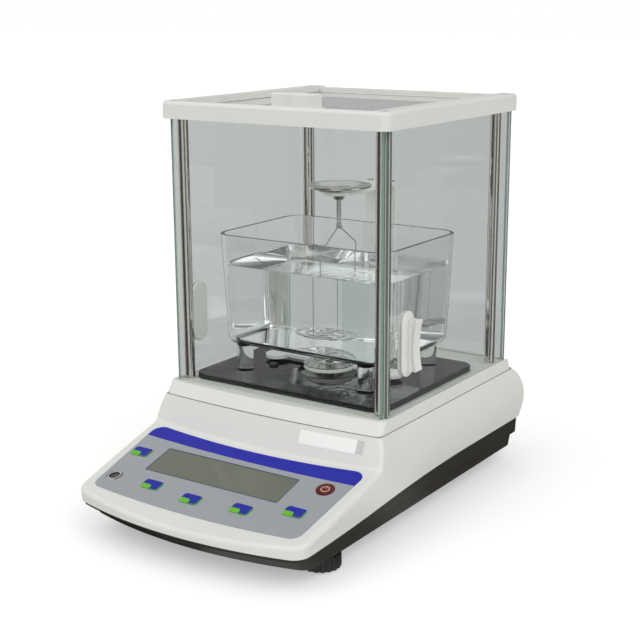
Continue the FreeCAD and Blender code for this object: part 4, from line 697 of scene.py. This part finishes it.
film, tree, place = printed("printed_polyester_film", FILM_GREY, 0.36)
spot = on_panel(tree, place)
uv = add(tree, "SeparateXYZ", {0: spot})
across = add(tree, "Math", {0: uv.outputs["X"], 1: BAND_MIDDLE}, operation="SUBTRACT")
across = add(tree, "Math", {0: across.outputs[0], 1: 2.0}, operation="POWER")
band_low = add(tree, "Math", {0: across.outputs[0], 1: BAND_BOW, 2: BAND_LOW},
               operation="MULTIPLY_ADD")
band = add(tree, "Math", {0: uv.outputs["Y"], 1: band_low.outputs[0]},
           operation="GREATER_THAN")
over(tree, band.outputs[0], BAND_BLUE)
low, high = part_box("lcd_window")
window_half = (high[0] - low[0]) / 2 / MM
window = panel_spot("lcd_window")
frame_half = (window_half + FRAME_MARGIN, FRAME_HALF_HEIGHT)
over(tree, inside_box(tree, spot, window, frame_half, FRAME_ROUND), FRAME_BLUE)
coat("keypad_overlay", film)
print("window:", [round(c, 1) for c in window], "half", round(window_half, 1))

# %% [markdown]
# Each key is a domed spot of the same film. Its ink is blue, with a green field in the lower
# left corner that stands for the key's second task, and a green edge below and on the right.


# %% Print the keys
FIELD = {"middle": (-4.4, -3.4), "half": (5.2, 3.0), "round_mm": 2.4}
FACE = {"middle": (-0.4, 0.4), "half": (8.2, 5.2), "round_mm": 2.0}
KEYS = ("density", "mode", "print", "tare", "zero")

for key in KEYS:
    ink, tree, place = printed(f"printed_{key}_key", "#161E96", 0.35)
    spot = on_panel(tree, place, *panel_spot(f"key_{key}"))
    face = inside_box(tree, spot, **FACE)
    edge = add(tree, "Math", {0: 1.0, 1: face}, operation="SUBTRACT")
    over(tree, edge.outputs[0], "#4C9A3C")
    over(tree, inside_box(tree, spot, **FIELD), "#67B52C")
    coat(f"key_{key}", ink)
print("keys printed:", len(KEYS))

# %% [markdown]
# The power key is dark red and carries the usual power sign: a ring with a gap at its top, and
# an upright bar in the gap. The ring is all that lies at one distance from the key's middle.

# %% Print the power key
SIGN_R, SIGN_LINE = 3.1, 0.42
SIGN_GAP = {"middle": (0, 3.4), "half": (1.15, 1.6), "round_mm": 0.1}
SIGN_BAR = {"middle": (0, 2.6), "half": (SIGN_LINE, 1.7), "round_mm": 0.3}

power, tree, place = printed("printed_power_key", "#560A0C", 0.35)
spot = on_panel(tree, place, *panel_spot("key_power"))
ring = add(tree, "Math", {0: reach_of(tree, spot), 1: SIGN_R, 2: SIGN_LINE},
           operation="COMPARE")
gap = inside_box(tree, spot, **SIGN_GAP)
ring = add(tree, "Math", {0: ring.outputs[0], 1: gap}, operation="SUBTRACT")
ring = add(tree, "Math", {0: ring.outputs[0], 1: 0.0}, operation="MAXIMUM")
bar = inside_box(tree, spot, **SIGN_BAR)
sign = add(tree, "Math", {0: ring.outputs[0], 1: bar}, operation="MAXIMUM")
over(tree, sign.outputs[0], "#D9A79C")
coat("key_power", power)
print("power sign", 2 * SIGN_R, "mm across")

# %% [markdown]
# The spirit level is a small round vial of dark liquid with a bubble. Its bezel is grey like
# the film, and carries two thin dark arcs, one on each side.

# %% Print the level
ARC_R, ARC_LINE, ARC_FROM = 6.0, 0.4, 3.9
BUBBLE_U, BUBBLE_V, BUBBLE_RIM = 0.9, 0.7, 1.65

level_u, level_v = panel_spot("level_vial")
bezel, tree, place = printed("printed_level_bezel", "#A3A7AA", 0.36)
spot = on_panel(tree, place, level_u, level_v)
arc = add(tree, "Math", {0: reach_of(tree, spot), 1: ARC_R, 2: ARC_LINE}, operation="COMPARE")
side = add(tree, "SeparateXYZ", {0: spot})
side = add(tree, "Math", {0: side.outputs["X"]}, operation="ABSOLUTE")
side = add(tree, "Math", {0: side.outputs[0], 1: ARC_FROM}, operation="GREATER_THAN")
arc = add(tree, "Math", {0: arc.outputs[0], 1: side.outputs[0]}, operation="MULTIPLY")
over(tree, arc.outputs[0], "#3A1418")

vial, tree, shader, place = new_finish("dark_vial", Roughness=0.04, IOR=1.47)
reach = reach_of(tree, on_panel(tree, place, level_u + BUBBLE_U, level_v + BUBBLE_V))
bubble = add(tree, "MapRange", {0: reach, 1: 1.3, 2: 1.7, 3: 1.0, 4: 0.0})
liquid = add(tree, "Mix", {0: bubble.outputs[0], 6: linear("#2A2527"), 7: linear("#4A4547")},
             data_type="RGBA")
tree.links.new(liquid.outputs[2], shader.inputs["Base Color"])
rim = add(tree, "Math", {0: reach, 1: BUBBLE_RIM, 2: 0.2}, operation="COMPARE")
over(tree, rim.outputs[0], "#171415")
print("level at", round(level_u, 1), round(level_v, 1))

# %% [markdown]
# ## The other solids
# The rest keep their packed form, since they are right as they are or hidden in the case. The
# black plate is polished acrylic, and reflects less than other glossy plastics.

# %% Keep the rest as packed
gloss_black = moulded("polished_black_acrylic", "#0A0B0C", "#08090A", 0.03, 2.0, 0.0003)
adjust(gloss_black, "Specular IOR Level", 0.38)
display_grey = moulded("display_window", "#5F6353", "#5A5E4F", 0.12, 1.5, 0.001)
board_green = moulded("lacquered_board", "#1E5A34", "#1B5230", 0.35)
KEPT = {
    "tank_base": gloss_black, "lcd_window": display_grey, "lcd_module": tray_abs,
    "level_bezel": bezel, "level_vial": vial, "display_board": board_green,
    "main_board": board_green, "key_switches": tray_abs, "chassis_plate": cell_aluminium,
    "weighing_cell": cell_aluminium, "socket_plate": tray_abs, "power_socket": foot_abs,
    "serial_port": cell_aluminium, "case_screws": turned_steel, "foot_nuts": nut_brass,
    # Painted shade: the frame's screw caps are dark for the shadow in their recessed holes.
    "frame_screws": screw_steel_and_hole_shade,
}
for node, finish in KEPT.items():
    coat(node, finish)
print(len(KEPT), "solids keep their packed form")

# %% [markdown]
# ## Rating label
# A strip of white vinyl with a clear grey margin is stuck on the sloping front below the glass.
# It is left blank. A fine grid is laid in front of the case and pressed onto it with
# Shrinkwrap, so it follows the curve, and Solidify gives it the thickness of vinyl.

# %% Stick on the label
LABEL_LEFT, LABEL_RIGHT, LABEL_LOW, LABEL_HIGH = 36.5, 92.0, 72.4, 82.2
LABEL_START_Y = -120.0
LABEL_LIFT, LABEL_THICK = 0.02 * MM, 0.15 * MM

bpy.ops.object.select_all(action="DESELECT")
bpy.ops.mesh.primitive_grid_add(
    x_subdivisions=28, y_subdivisions=6, size=1.0, rotation=(math.pi / 2, 0, 0),
    location=((LABEL_LEFT + LABEL_RIGHT) / 2 * MM, LABEL_START_Y * MM,
              (LABEL_LOW + LABEL_HIGH) / 2 * MM))
label = bpy.context.object
label.name = "rating_label"
label.scale = ((LABEL_RIGHT - LABEL_LEFT) * MM, (LABEL_HIGH - LABEL_LOW) * MM, 1)
bpy.ops.object.transform_apply(location=True, rotation=True, scale=True)
press = label.modifiers.new("press", "SHRINKWRAP")
press.target = bpy.data.objects["top_case_dressed"]
press.wrap_method = "PROJECT"
press.use_project_x, press.use_project_y, press.use_project_z = False, True, False
press.use_negative_direction = False
press.offset = LABEL_LIFT
bpy.ops.object.modifier_apply(modifier=press.name)
thick = label.modifiers.new("thick", "SOLIDIFY")
thick.thickness = LABEL_THICK
thick.offset = 1.0
bpy.ops.object.modifier_apply(modifier=thick.name)
bpy.ops.object.shade_smooth_by_angle(angle=math.radians(40))
reached = [v.co.y / MM for v in label.data.vertices]
print("label from y", round(min(reached), 1), "to", round(max(reached), 1))

# %% [markdown]
# Vinyl is smooth, and its white ink stops short of the right end, where the clear film shows
# the case through it as a grey. One comparison along x divides the two.

# %% Print the label
WHITE_END = 86.0

vinyl, tree, shader, place = new_finish("label_vinyl", Roughness=0.3, IOR=1.5)
along = add(tree, "SeparateXYZ", {0: place}).outputs["X"]
white = add(tree, "Math", {0: along, 1: WHITE_END * MM}, operation="LESS_THAN")
fibre = add(tree, "TexNoise", {"Vector": place, "Scale": 1 / (0.9 * MM), "Detail": 2.0})
paper = add(tree, "Mix", {0: fibre.outputs[0], 6: linear("#F4F4F0"), 7: linear("#ECECE8")},
            data_type="RGBA")
ink = add(tree, "Mix", {0: white.outputs[0], 6: linear("#C4C5C2"), 7: paper.outputs[2]},
          data_type="RGBA")
tree.links.new(ink.outputs[2], shader.inputs["Base Color"])
settle(label, BODY_OF["top_case"], vinyl)
print("white up to x", WHITE_END, "mm")

# %% [markdown]
# ## A screw in the black plate
# A dark pan-head screw sits in the plate under the tank. The head is a short cylinder whose
# upper edge is bevelled to a dome.

# %% Model the screw's head
SCREW_X, SCREW_Y, SCREW_R, SCREW_RISE = -46.0, 15.5, 4.0, 1.8
DOME = 1.3 * MM

plate_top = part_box("tank_base")[1][2]
bpy.ops.object.select_all(action="DESELECT")
bpy.ops.mesh.primitive_cylinder_add(
    vertices=40, radius=SCREW_R * MM, depth=SCREW_RISE * MM,
    location=(SCREW_X * MM, SCREW_Y * MM, plate_top + SCREW_RISE / 2 * MM))
screw = bpy.context.object
screw.name = "plate_screw"
bpy.ops.object.transform_apply(location=True, rotation=True, scale=True)
bpy.ops.object.mode_set(mode="EDIT")
bpy.ops.mesh.select_all(action="DESELECT")
head = bmesh.from_edit_mesh(screw.data)
for edge in head.edges:
    edge.select = all(v.co.z > plate_top + 0.9 * SCREW_RISE * MM for v in edge.verts)
bmesh.update_edit_mesh(screw.data)
bpy.ops.mesh.bevel(offset=DOME, segments=5, affect="EDGES")
bpy.ops.object.mode_set(mode="OBJECT")
print("dome faces:", len(screw.data.polygons))

# %% [markdown]
# The head's cross recess is cut with two crossed bars by a Boolean. Its turn is arbitrary, as
# on any screw that was just driven home.

# %% Cut the cross recess
RECESS_TURN = 0.35
RECESS_SIZE = (3.6 * MM, 0.8 * MM, 1.6 * MM)

for turn in (RECESS_TURN, RECESS_TURN + math.pi / 2):
    bpy.ops.mesh.primitive_cube_add(
        size=1.0, location=(SCREW_X * MM, SCREW_Y * MM, plate_top + SCREW_RISE * MM),
        rotation=(0, 0, turn))
    cutter = bpy.context.object
    cutter.scale = RECESS_SIZE
    only(screw)
    recess = screw.modifiers.new("recess", "BOOLEAN")
    recess.operation, recess.object, recess.solver = "DIFFERENCE", cutter, "EXACT"
    bpy.ops.object.modifier_apply(modifier=recess.name)
    bpy.data.objects.remove(cutter)
bpy.ops.object.shade_smooth_by_angle(angle=math.radians(35))
settle(screw, BODY_OF["tank_base"], screw_steel_and_hole_shade)
print("screw faces:", len(screw.data.polygons))
